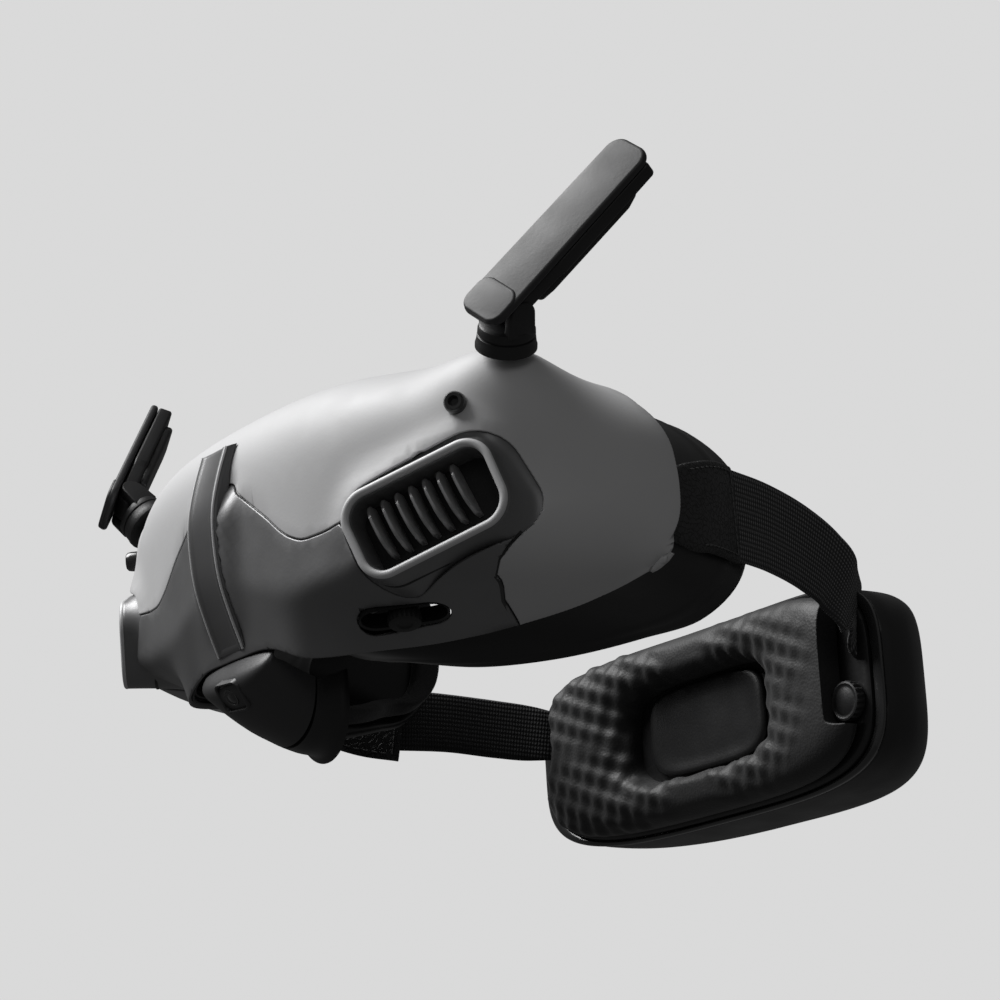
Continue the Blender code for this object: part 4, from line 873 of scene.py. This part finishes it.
def beak():
    """Bottom cover with its small sensor window, and the soft nose rest behind it."""
    shell = trough(((13.0, (-21.5, 24.0), (-24.2, 23.0)), (14.2, (-24.4, 19.2), (-28.0, 15.2)),
                    (13.8, (-21.5, 18.0), (-24.5, 10.5)), (12.6, (-17.0, 16.8), (-18.5, 6.0)),
                    (11.0, (-12.5, 16.0), (-12.8, 3.2))), 1.6, 32)
    # The beak is coloured far darker than the dark cover it belongs to: painted shade, since it faces down.
    skin("beak_shell", shell, "beak_painted_shade", "front_unit", "dark_cover", ("beak_cover",), sharp=50)
    frame = outwards(frame_of((0, -26.5, 12.8), (1, 0, 0), (0, 0.62, -0.78)), (0, -0.8, -0.6))
    outline = closed_steps(rounded(((-4.6, -2.9), (3.4, -3.5), (4.8, 2.9), (-3.2, 3.5)), 1.3, 6), 0.5)
    rim = ((-0.35, -2.0), (-0.35, 0.2), (-0.2, 0.42), (0.1, 0.42), (0.3, 0.2), (0.35, -1.2))
    rows = [lifted(frame, offset(outline, s), h) for s, h in rim]
    skin("beak_window_rim", rows, "beak_painted_shade", "front_unit", "dark_cover", ring=True)
    slab("beak_window_pane", offset(outline, 0.4), -1.4, -0.2, frame, "glass", "front_unit", "glass",
         ("beak_window",), edge=0.3)
    lens = ((0.01, 0.5), (0.9, 0.4), (1.5, 0.1), (1.7, 0.35), (2.0, 0.35), (2.1, -0.3))
    lathe("beak_window_lens", lens, frame, "gloss_rim", "front_unit", "glass", steps=40)
    rest = trough(((10.7, (-12.0, 15.8), (-12.0, 2.9)), (10.2, (-9.5, 16.6), (-9.0, 2.0)),
                   (10.4, (-6.5, 17.6), (-5.6, 1.6)), (11.2, (-5.2, 18.2), (-3.6, 0.9))), 1.3, 22, roll=1.2)
    skin("nose_flap", rest, "silicone", "front_unit", "rubber", ("nose_rest",), sharp=60)


# ------------------------------------------------------------------ face shield and foam
SHIELD_FRONT = ((0, -21, 23), (12, -21, 23), (23, -17.5, 20.5), (28.5, -8, 21.5), (34, 4, 23), (44, 14, 25),
                (60, 21, 28), (71, 24, 31), (75.5, 26, 38), (76, 27, 46), (74, 26, 55), (69, 22, 63),
                (58, 18, 69.5), (40, 13, 73.5), (20, 9, 75), (0, 7.5, 75.2))
SHIELD_REAR = ((0, -4, 27), (8, -2.5, 23.5), (14, 0.5, 20), (24, 3, 17.5), (34, 13, 15.2), (44, 24.6, 15.5),
               (52, 43, 19.9), (58, 54, 23.6), (61.5, 63, 33), (62.5, 65, 44), (62, 62, 56.5), (59, 54, 64.5),
               (52, 42, 69.5), (40, 30, 72.5), (21, 21, 74), (0, 18, 74.6))


def ring_from_half(half, count):
    h = resample(half, count)
    h[0, 0] = h[-1, 0] = 0
    return np.concatenate([h, mirror_x(h[-2:0:-1])])


def inward(loop, distance):
    """Shrinks a loop towards its middle, seen along y."""
    run = np.roll(loop, -1, 0) - np.roll(loop, 1, 0)
    normal = unit(np.stack([-run[:, 2], run[:, 0]], 1))
    flat = loop[:, [0, 2]]
    normal *= np.sign(np.sum(normal * (flat.mean(0) - flat), 1))[:, None]
    out = loop.copy()
    out[:, [0, 2]] += normal * distance
    return out


def shield():
    front, rear = ring_from_half(SHIELD_FRONT, 120), ring_from_half(SHIELD_REAR, 120)
    outer = []
    for t in np.linspace(0, 1, 24):
        ring = front * (1 - t) + rear * t
        pleat = 0.35 * math.sin(t * math.pi) + 0.28 * math.exp(-((t - 0.82) / 0.03) ** 2)
        outer.append(inward(ring, -pleat))
    edge = [inward(rear + np.array((0, d, 0)), s) for d, s in ((0.7, 0.25), (0.95, 0.9), (0.7, 1.6))]
    inner = [inward(front * (1 - t) + rear * t, 1.8) for t in np.linspace(1, 0, 16)]
    skin("shield_skin", outer + edge + inner, "silicone", "front_unit", "rubber", ("face_shield",), ring=True,
         sharp=70)
    rows = []
    for a in np.linspace(0, 2 * math.pi, 28, endpoint=False):
        c, s = math.cos(a), math.sin(a)
        across = 4.9 + 1.9 * np.sign(c) * abs(c) ** 0.6
        t = 0.93 + 0.075 * np.sign(s) * abs(s) ** 0.6
        ring = front * (1 - t) + rear * t
        rows.append(inward(ring, across))
    foam = skin("foam_ring", rows, "foam", "front_unit", "foam", ("face_foam",), ring=True, sharp=80)
    ripple(foam, 0.25)


def ripple(obj, height):
    """Slow unevenness of a soft surface, in millimetres."""
    texture = bpy.data.textures.new(obj.name + "_ripple", "CLOUDS")
    texture.noise_scale, texture.noise_depth = 0.009, 1
    mod = obj.modifiers.new("uneven", "DISPLACE")
    mod.texture, mod.strength, mod.mid_level = texture, height * MM, 0.5
    mod.texture_coords = "LOCAL"


# ------------------------------------------------------------------ controls
def side_seat(y, z):
    """Frame on the right-hand side wall: x along -Y, y up and z outwards."""
    at = surface([from_side(y, z)])[0] * np.array([-1, 1, 1])
    return frame_of(at, (0, -1, 0), (0, 0, 1))


def controls():
    for side in (1, -1):
        name = side_name(side)
        base = outwards(flip(slot_frame(), side), (0, 0, -1))
        ring = closed_steps(stadium(9.5, 4.0, 10), 0.8)
        wall = ((0.0, -0.6), (0.5, -0.9), (0.7, -4.3), (0.0, -4.3))
        rows = [lifted(base, offset(ring, s), h) for s, h in wall]
        skin("slot_wall_" + name, rows, *BLACK, ring=True)
        grip = ((0.01, 0.9), (1.4, 0.9), (1.7, 1.15), (2.9, 1.15), (3.35, 0.9), (3.6, 0.4), (3.6, -1.2),
                (3.3, -1.6), (3.3, -4.2), (0.01, -4.2))
        slab("slot_back_" + name, stadium(9.3, 3.8, 10), -5.95, -5.55, base, *BLACK, edge=0.15)
        slab("slider_tongue_" + name, stadium(5.2, 2.9, 8), -5.4, -5.0, base, "black_plastic", "ipd_" + name,
             "black_plastic", ("ipd_slider_" + name,), edge=0.15)
        lathe("focus_grip_" + name, grip, base, "rubber", "knob_" + name, "rubber", ("focus_knob_" + name,),
              120, 20, 0.28)
        stud = surface([from_front(67.4, 60.0)])[0] * np.array([side, 1, 1])
        normal = unit(np.array([0.60 * side, -0.74, 0.30]))
        seat = outwards(frame_of(stud + normal * 0.1, np.cross(normal, (0, 0, 1)), (0, 0, 1)), normal)
        shape = ((0.01, 1.0), (0.75, 1.0), (0.9, 1.7), (1.15, 2.15), (1.75, 2.2), (2.15, 1.8), (2.3, 1.0),
                 (2.35, -0.4))
        lathe("stud_" + name, shape, seat, "gloss_rim", "front_unit", "black_plastic",
              ("sensor_stud_" + name,), 48)
    stick = side_seat(*STICK_AT)
    lathe("stick_cap", ((0.01, 2.0), (1.6, 2.1), (2.4, 2.4), (3.0, 2.3), (3.4, 1.8), (3.5, 0.8), (3.2, -2.5),
                        (0.01, -2.6)), stick, "rubber", "stick", "rubber", ("joystick",), 96, 24, 0.12)
    back = side_seat(*BACK_AT)
    lathe("back_cap", ((0.01, 0.9), (1.8, 0.95), (2.4, 0.8), (2.65, 0.4), (2.7, -2.6), (0.01, -2.6)), back,
          "rubber", "back", "rubber", ("back_button",), 64)


# ------------------------------------------------------------------ antennas
def antenna(side):
    name, flipx = side_name(side), np.array([side, 1, 1])
    body = "antenna_" + name
    hinge = np.array(HORN_AT) + unit(HORN_AXIS) * HINGE_RISE
    d = unit(ARM_DIR)
    face = unit(np.array(ARM_FACE) - d * (np.array(ARM_FACE) @ d))
    frame = flip(frame_of(hinge, d, np.cross(face, d)), side, keep="x")
    pin = frame[1][1]
    seat, axis = np.array(HORN_AT) * flipx, unit(HORN_AXIS) * flipx
    stand = outwards(frame_of(seat, pin, np.cross(axis, pin)), axis)
    cup = ((0.01, 4.6), (3.6, 4.6), (5.0, 4.55), (5.6, 4.2), (5.85, 3.6), (5.9, 2.6), (5.6, 2.45), (5.6, 2.2),
           (5.95, 2.05), (6.1, 0.8), (6.3, 0.2), (6.3, -0.6))
    lathe("collar_cup_" + name, cup, stand, *BLACK, ("antenna_collar_" + name,), 72)
    for k in (1, -1):
        middle = hinge * flipx + pin * 4.4 * k
        side_frame = frame_of(middle, axis - pin * (axis @ pin), np.cross(pin, axis))
        a = np.linspace(-math.pi / 2, math.pi / 2, 19)
        outline = np.array([(-4.6, -3.2)] + [(3.0 * math.cos(t), 3.0 * math.sin(t)) for t in a]
                           + [(-4.6, 3.2)])
        slab(f"collar_ear_{name}_{'a' if k > 0 else 'b'}", outline, -1.05, 1.05, side_frame, *BLACK, edge=0.4)
    lathe("knuckle_" + name, ((0.01, 2.95), (2.5, 2.95), (3.0, 2.5), (3.0, -2.5), (2.5, -2.95),
                              (0.01, -2.95)), (frame[0], np.stack([frame[1][0], frame[1][2] * -1, pin])),
          "black_plastic", body, "black_plastic", steps=48)
    half = ARM_WIDTH / 2
    low = ARM_THICK * -0.5 + 0.6
    steps = ((-0.5, -half + 1.2), (ARM_LENGTH * 0.30, -half + 1.0), (ARM_LENGTH * 0.36, -half + 0.5),
             (ARM_LENGTH + 4.6, -half + 0.9), (ARM_LENGTH + 4.6, half - 0.9), (-0.5, half - 1.2))
    outline = closed_steps(rounded(steps, 1.1, 6), 0.9)
    slab("arm_core_" + name, outline, low + 1.2, low + ARM_THICK, frame, "black_plastic", body,
         "black_plastic", ("antenna_arm_" + name,), edge=0.7)
    thick = ((5.0, -half + 2.0), (8.5, -half + 1.4), (ARM_LENGTH - 4.0, -half + 1.4),
             (ARM_LENGTH - 0.5, -half + 2.6), (ARM_LENGTH - 0.5, half - 2.6), (ARM_LENGTH - 4.0, half - 1.4),
             (8.5, half - 1.4), (5.0, half - 2.0))
    slab("arm_pod_" + name, closed_steps(rounded(thick, 1.2, 6), 0.9), low - 0.6, low + 1.6, frame,
         "black_plastic", body, "black_plastic", edge=0.8)
    base = low + ARM_THICK + 0.25
    outline = closed_steps(rounded(((-6.4, -half), (ARM_LENGTH + 6, -half + 0.6),
                                    (ARM_LENGTH + 6, half - 0.6), (-6.4, half)), 3.4, 12), 0.9)
    slab("plate_face_" + name, outline, base, base + PLATE_THICK, frame, "antenna", body, "grey_plastic",
         ("antenna_plate_" + name,), edge=0.75, rings=5)
    groove = closed_steps(rounded(((-6.4, -half), (2.6, -half), (2.6, half), (-6.4, half)), 3.2, 12), 0.9)
    slab("plate_cap_" + name, offset(groove, 0.25), base + 0.4, base + PLATE_THICK + 0.35, frame, "antenna",
         body, "grey_plastic", edge=0.6)


# ------------------------------------------------------------------ headband
PIVOT = (27.0, 35.8)
LEATHER = {1: ((79.2, 29.5, 38.8), (78.6, 34, 40.2), (75.8, 43, 42.5), (72.2, 50, 43.7), (67.9, 57.0, 44.4)),
           -1: ((-79.2, 29.5, 38.6), (-78.4, 35, 36.4), (-75.6, 44, 31.6), (-71.8, 52, 28.6),
                (-67.8, 60.8, 27.1))}
LEATHER_HEIGHTS = {1: (11, 16.5, 19.4, 20.6, 21.0), -1: (11, 16, 19.0, 20.4, 20.8)}
ELASTIC = {1: ((68.4, 55.6, 44.4), (64.4, 70, 43.6), (61.6, 82, 41.0), (60.0, 90, 37.6), (58.8, 95, 33.6),
               (57.2, 98.0, 30.2), (55.4, 100.6, 25.6), (54.6, 104.0, 24.8)),
           -1: ((-68.3, 59.2, 27.2), (-64.4, 72, 26.4), (-61.0, 84, 25.0), (-58.2, 91, 24.0),
                (-55.4, 96.5, 23.1), (-54.7, 101, 22.7), (-54.6, 104, 22.6))}
ELASTIC_HEIGHTS = {1: (20.0, 20.0, 19.8, 19.4, 20.2, 22.0, 13.0, 11.0),
                   -1: (15.4, 14.6, 14.5, 14.0, 12.4, 11.4, 11.0)}
STITCH_PITCH, STITCH_INSET = 1.9, 1.5


def ribbon(path, heights, thickness, count, soft, around=24):
    """Flat strap on edge along a path: rounded sections, each point's place on the band, and its spine."""
    path = np.asarray(path, float)
    run_at = np.concatenate([[0], np.cumsum(np.linalg.norm(np.diff(path, axis=0), axis=1))])
    t = np.linspace(0, run_at[-1], count)
    p = np.stack([interpolate(t, run_at, path[:, k]) for k in range(3)], 1)
    h = interpolate(t, run_at, heights) / 2
    along = unit(np.gradient(p, axis=0))
    out = unit(np.cross(along, (0, 0, 1.0)))
    up = np.cross(out, along)
    rows, uv = [], []
    for i in range(count):
        a = np.linspace(0, 2 * math.pi, around, endpoint=False)
        u = h[i] * np.sign(np.cos(a)) * np.abs(np.cos(a)) ** soft
        v = thickness / 2 * np.sign(np.sin(a)) * np.abs(np.sin(a)) ** 0.7
        rows.append(p[i] + out[i] * v[:, None] + up[i] * u[:, None])
        uv += [(t[i], w) for w in u]
    return rows, uv, (p, along, out, up, h)


def add_stitch(points, faces, centre, run, side, out, stations):
    """One short thread: a spindle along run, from stations of (place, radius)."""
    base = len(points)
    points += [centre + run * x + side * y + out * z for x, r in stations
               for y, z in ((r, 0), (0, r), (-r, 0), (0, -r))]
    faces += [tuple(base + v for v in f) for f in grid_faces(4, 4)]


def stitches(name, spine, reach):
    """Rows of short stitches along both edges of a band, on both of its faces."""
    p, along, out, up, h = spine
    length = np.concatenate([[0], np.cumsum(np.linalg.norm(np.diff(p, axis=0), axis=1))])
    stations = [(x * STITCH_PITCH, r) for x, r in ((-0.42, 0.06), (-0.2, 0.17), (0.2, 0.17), (0.42, 0.06))]
    points, faces = [], []
    for edge in (1, -1):
        for s in np.arange(length[-1] * reach[0], length[-1] * reach[1], STITCH_PITCH):
            c, d, o, u = (np.array([np.interp(s, length, a[:, k]) for k in range(3)])
                          for a in (p, along, out, up))
            middle = c + u * edge * (np.interp(s, length, h) - STITCH_INSET)
            for k in (1, -1):
                add_stitch(points, faces, middle + o * k, d, u, o, stations)
    piece(name, points, faces, "thread", "headband", sharp=80)


def end_seam(name, spine):
    """Stitches across the end of the leather, where the woven band goes in."""
    p, along, out, up, h = (a[-2] for a in spine)
    stations = ((-0.75, 0.06), (-0.4, 0.18), (0.4, 0.18), (0.75, 0.06))
    points, faces = [], []
    for s in np.linspace(-0.8, 0.8, 11):
        for k in (1, -1):
            add_stitch(points, faces, p - along * 1.1 + up * s * h + out * k, up, along, out, stations)
    piece(name, points, faces, "thread", "headband", sharp=80)


def headband(side):
    name = side_name(side)
    rows, _, spine = ribbon(LEATHER[side], LEATHER_HEIGHTS[side], 1.9, 46, 0.28)
    skin("leather_end_" + name, rows, "leather", "headband", "leather", ("strap_end_" + name,), sharp=75)
    stitches("stitch_" + name, spine, (0.35, 0.93))
    end_seam("seam_" + name, spine)
    rows, uv, _ = ribbon(ELASTIC[side], ELASTIC_HEIGHTS[side], 1.35, 120, 0.3, 30)
    skin("elastic_" + name, rows, "webbing", "headband", "webbing", ("strap_band_" + name,), sharp=75, uv=uv)
    rivet = ((0.01, 1.25), (1.5, 1.25), (2.2, 1.1), (2.6, 0.7), (2.6, -0.6), (1.4, -0.6), (1.4, -1.2),
             (0.01, -1.2))
    seat = outwards(frame_of((side * 80.0, *PIVOT), (0, 1, 0), (0, 0, 1)), (side, 0, 0))
    lathe("rivet_" + name, rivet, seat, "metal", "headband", "leather", steps=40)


# ------------------------------------------------------------------ rear unit
def rear_face(x):
    return REAR_FRONT - REAR_FRONT_SAG * (np.asarray(x) / REAR_HALF[0]) ** 2


def rear_loop(scale_x, scale_z, depth, shift=0.0, count=200):
    """Rounded outline; depth 0 follows the front face and 1 the back."""
    a = np.linspace(0, 2 * math.pi, count, endpoint=False) + math.pi / count
    c, s = np.cos(a), np.sin(a)
    x = REAR_HALF[0] * scale_x * np.sign(c) * np.abs(c) ** (2 / 4.4)
    z = REAR_Z + REAR_HALF[1] * scale_z * np.sign(s) * np.abs(s) ** (2 / 4.0)
    front = rear_face(x)
    back = REAR_BACK - REAR_BACK_SAG * np.abs(x / REAR_HALF[0]) ** 2.5
    return np.stack([x, front + (back - front) * depth + shift, z], 1)


def rear_rows(levels, flatten=1.0):
    """Loops of the rear outline from (scale, distance from the front face)."""
    return [rear_loop(s, s * flatten, 0, y) for s, y in levels]


def rear_unit():
    at = np.array((0.0, 0.25, 0.6, 0.86, 0.97, 1.0, 1.0))
    size = np.array((0.985, 1.0, 0.99, 0.93, 0.80, 0.45, 0.08))
    t = np.linspace(0, len(at) - 1, 54)
    rows = [rear_loop(0.955, 0.945, 0.6), rear_loop(0.955, 0.945, -0.004), rear_loop(0.975, 0.973, -0.004)]
    rows += [rear_loop(s, s, d) for s, d in zip(interpolate(t, np.arange(7), size),
                                                interpolate(t, np.arange(7), at))][1:]
    skin("rear_shell", rows, *REAR_BLACK, ("rear_housing",), sharp=45)
    rim = ((0.955, 0.1), (0.99, 0.1), (0.998, -0.7), (0.998, -1.2), (0.985, -1.65), (0.965, -1.7),
           (0.955, -1.5))
    skin("rear_gloss_rim", rear_rows(rim), "gloss_rim", "rear_unit", "grey_plastic", ("rear_trim",),
         ring=True, sharp=60)
    plate = ((0.03, -0.4), (0.5, -0.4), (0.94, -0.4), (0.945, -1.0), (0.945, -2.0), (0.935, -2.6),
             (0.915, -2.9), (0.6, -2.9), (0.03, -2.9))
    skin("pad_plate", rear_rows(plate), *REAR_BLACK, ("rear_pad_base",), sharp=50)
    pad()
    recess = ((0.03, -3.2), (0.325, -3.2), (0.335, -3.7), (0.332, -4.4), (0.32, -4.8), (0.30, -4.9),
              (0.27, -4.55), (0.2, -4.5), (0.03, -4.5))
    skin("recess_plate", rear_rows(recess, 1.35), *REAR_BLACK, ("rear_recess_panel",), sharp=60)
    cap = (np.array((-46.0, 114.0, REAR_Z + REAR_HALF[1] - 1.1)), np.eye(3))
    profile = ((0.01, 1.35), (2.2, 1.4), (3.4, 1.3), (4.0, 0.9), (4.15, 0.4), (4.2, -1.7), (0.01, -1.75))
    lathe("power_cap", profile, cap, "rubber", "power", "rubber", ("power_button",), 72)


BUMP_PITCH, BUMP_HEIGHT = 6.8, 0.45


def ease(value):
    """Smooth step from 0 to 1 about zero."""
    return 1 / (1 + np.exp(-value))


def bump_height(p, crest):
    """Egg-crate lumps over part of the pad: left, top and lower band, fading to a smooth outer corner."""
    x, z = p[:, 0], p[:, 2]
    u, v = (x * 0.92 + z * 0.38) / BUMP_PITCH, (z * 0.92 - x * 0.38) / BUMP_PITCH
    lump = np.cos(2 * math.pi * u) * np.cos(2 * math.pi * v)
    ring = np.hypot(x / REAR_HALF[0], (z - REAR_Z) / REAR_HALF[1])
    smooth = ease((x - 44 - (z - 16) * 0.35) / 2.6) + 0.8 * ease((ring - 0.86) / 0.04) * (x > -20)
    return BUMP_HEIGHT * lump * (1 - np.clip(smooth, 0, 1)) * crest


def pad():
    """Ring-shaped cushion around the recess, pressed back where the straps and the wheel stand."""
    levels = ((0.86, 0.88, -3.1), (0.895, 0.915, -4.0), (0.905, 0.925, -5.4), (0.89, 0.91, -7.0),
              (0.855, 0.875, -8.4), (0.80, 0.825, -9.5), (0.72, 0.755, -10.2), (0.62, 0.675, -10.6),
              (0.53, 0.60, -10.3), (0.465, 0.545, -9.2), (0.43, 0.51, -7.6), (0.415, 0.495, -5.8),
              (0.41, 0.49, -3.1))
    table = np.array(levels)
    t = np.linspace(0, len(table) - 1, 84)
    dense = np.stack([interpolate(t, np.arange(len(table)), column) for column in table.T], 1)
    rows = np.array([rear_loop(sx, sz, 0, y, 420) for sx, sz, y in dense])
    run, around = np.gradient(rows, axis=0), np.roll(rows, -1, 1) - np.roll(rows, 1, 1)
    normal = unit(np.cross(around, run)).reshape(-1, 3)
    forward = np.where(normal[:, 1:2] > 0, -normal, normal)
    crest = np.repeat(np.clip((-dense[:, 2] - 4.4) / 3.0, 0, 1), rows.shape[1])
    flat = rows.reshape(-1, 3)
    made = flat + forward * bump_height(flat, crest)[:, None]
    for side, reach, low, high in ((1, 50.0, 4.6, 42.0), (-1, 51.6, 13.6, 33.8)):
        beside = ease((made[:, 2] - low) / 0.35) * ease((high - made[:, 2]) / 0.35)
        made[:, 0] = side * np.minimum(side * made[:, 0], reach + 15 * (1 - beside))
    faces = grid_faces(rows.shape[0], rows.shape[1], caps=False)
    piece("pad_cushion", made, faces, "pad_skin", "rear_unit", ("rear_pad",), 80)


def dial():
    x, z = DIAL_AT
    front = float(rear_face(x)) - 2.9
    frame = outwards(frame_of((x, front, z), (1, 0, 0), (0, 0, 1)), (0, -1, 0))
    grip = ((0.01, 3.2), (2.6, 3.2), (3.0, 3.0), (3.5, 3.0), (3.9, 3.25), (4.3, 3.15), (4.6, 2.8), (4.6, 1.3),
            (4.3, 0.9), (2.0, 0.9), (1.5, 0.7), (1.5, -5.0), (0.01, -5.0))
    lathe("dial_grip", grip, frame, "black_plastic", "dial", "rubber", ("fit_dial",), 144, 20, 0.4)


# ------------------------------------------------------------------ light, backdrop and camera
def stage_floor():
    """Pale floor under the object. It is seen only from above, so the low camera looks through it."""
    mesh = bpy.data.meshes.new("floor")
    r, z = 3.0, -0.0006
    mesh.from_pydata([(-r, -r, z), (r, -r, z), (r, r, z), (-r, r, z)], [], [(0, 1, 2, 3)])
    floor = bpy.data.objects.new("floor", mesh)
    bpy.context.scene.collection.objects.link(floor)
    n = Nodes("floor")
    fill(n.shader, {"Base Color": (0.72, 0.72, 0.72, 1), "Roughness": 0.9})
    facing = n.maths("SUBTRACT", 1.0, n.add("ShaderNodeNewGeometry").outputs["Backfacing"])
    seen = n.maths("MULTIPLY", n.add("ShaderNodeLightPath").outputs["Is Camera Ray"], facing)
    clear = n.add("ShaderNodeBsdfTransparent").outputs[0]
    mix = n.add("ShaderNodeMixShader", {0: seen, 1: clear, 2: n.shader.outputs[0]})
    fill(n.tree.nodes["Material Output"], {"Surface": mix.outputs[0]})
    mesh.materials.append(n.material)


def studio():
    """Pale backdrop for the camera, a weaker fill for the light, and three soft lamps."""
    sky = bpy.data.worlds.new("studio")
    bpy.context.scene.world = sky
    sky.use_nodes = True
    nodes = sky.node_tree.nodes
    shown, soft = nodes["Background"], nodes.new("ShaderNodeBackground")
    fill(shown, {"Color": (0.70, 0.70, 0.70, 1), "Strength": 1.0})
    fill(soft, {"Color": (0.9, 0.9, 0.9, 1), "Strength": FILL})
    ray, mix = nodes.new("ShaderNodeLightPath"), nodes.new("ShaderNodeMixShader")
    fill(mix, {0: ray.outputs["Is Camera Ray"], 1: soft.outputs[0], 2: shown.outputs[0]})
    fill(nodes["World Output"], {"Surface": mix.outputs[0]})
    middle = Vector((0, 0, 0.055))
    for name, direction, distance, size, power in LIGHTS:
        data = bpy.data.lights.new(name, "AREA")
        data.shape, data.size, data.energy = "DISK", size, power
        lamp = bpy.data.objects.new(name, data)
        lamp.location = middle + Vector(direction).normalized() * distance
        lamp.rotation_mode = "QUATERNION"
        lamp.rotation_quaternion = (middle - lamp.location).to_track_quat("-Z", "Y")
        bpy.context.scene.collection.objects.link(lamp)


FILL = 0.08
LIGHTS = (                              # name, direction, distance, size, watts
    ("key", (-0.62, -0.74, 1.25), 1.1, 0.8, 15.0),
    ("top", (-0.15, -0.35, 1.0), 1.2, 0.9, 1.8),
    ("side", (1.0, -0.55, 0.35), 1.3, 0.55, 0.7),
)


def camera():
    a, e, r = (math.radians(v) for v in (CAMERA_AZIMUTH, CAMERA_ELEVATION, CAMERA_ROLL))
    back = np.array((math.sin(a) * math.cos(e), -math.cos(a) * math.cos(e), math.sin(e)))
    right = np.array((math.cos(a), math.sin(a), 0.0))
    up = np.cross(back, right)
    right, up = math.cos(r) * right + math.sin(r) * up, math.cos(r) * up - math.sin(r) * right
    at = world(CAMERA_AT)[0]
    data = bpy.data.cameras.new("camera")
    data.lens, data.sensor_width, data.clip_start, data.clip_end = CAMERA_LENS, 36.0, 0.01, 20.0
    obj = bpy.data.objects.new("camera", data)
    obj.matrix_world = Matrix([[right[k], up[k], back[k], at[k]] for k in range(3)] + [[0, 0, 0, 1]])
    bpy.context.scene.collection.objects.link(obj)
    bpy.context.scene.camera = obj
    bpy.context.scene.view_settings.view_transform = "Standard"


# ------------------------------------------------------------------ assembly
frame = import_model()
make_finishes()
wrap_cad_nodes(frame["nodes"], {s["node"]: s["material_slot"] for s in frame["record"]["subparts"]})
covers()
trims()
ridge()
beak()
shield()
controls()
for hand in (1, -1):
    vent(hand)
    antenna(hand)
    headband(hand)
rear_unit()
dial()
stage_floor()
studio()
camera()
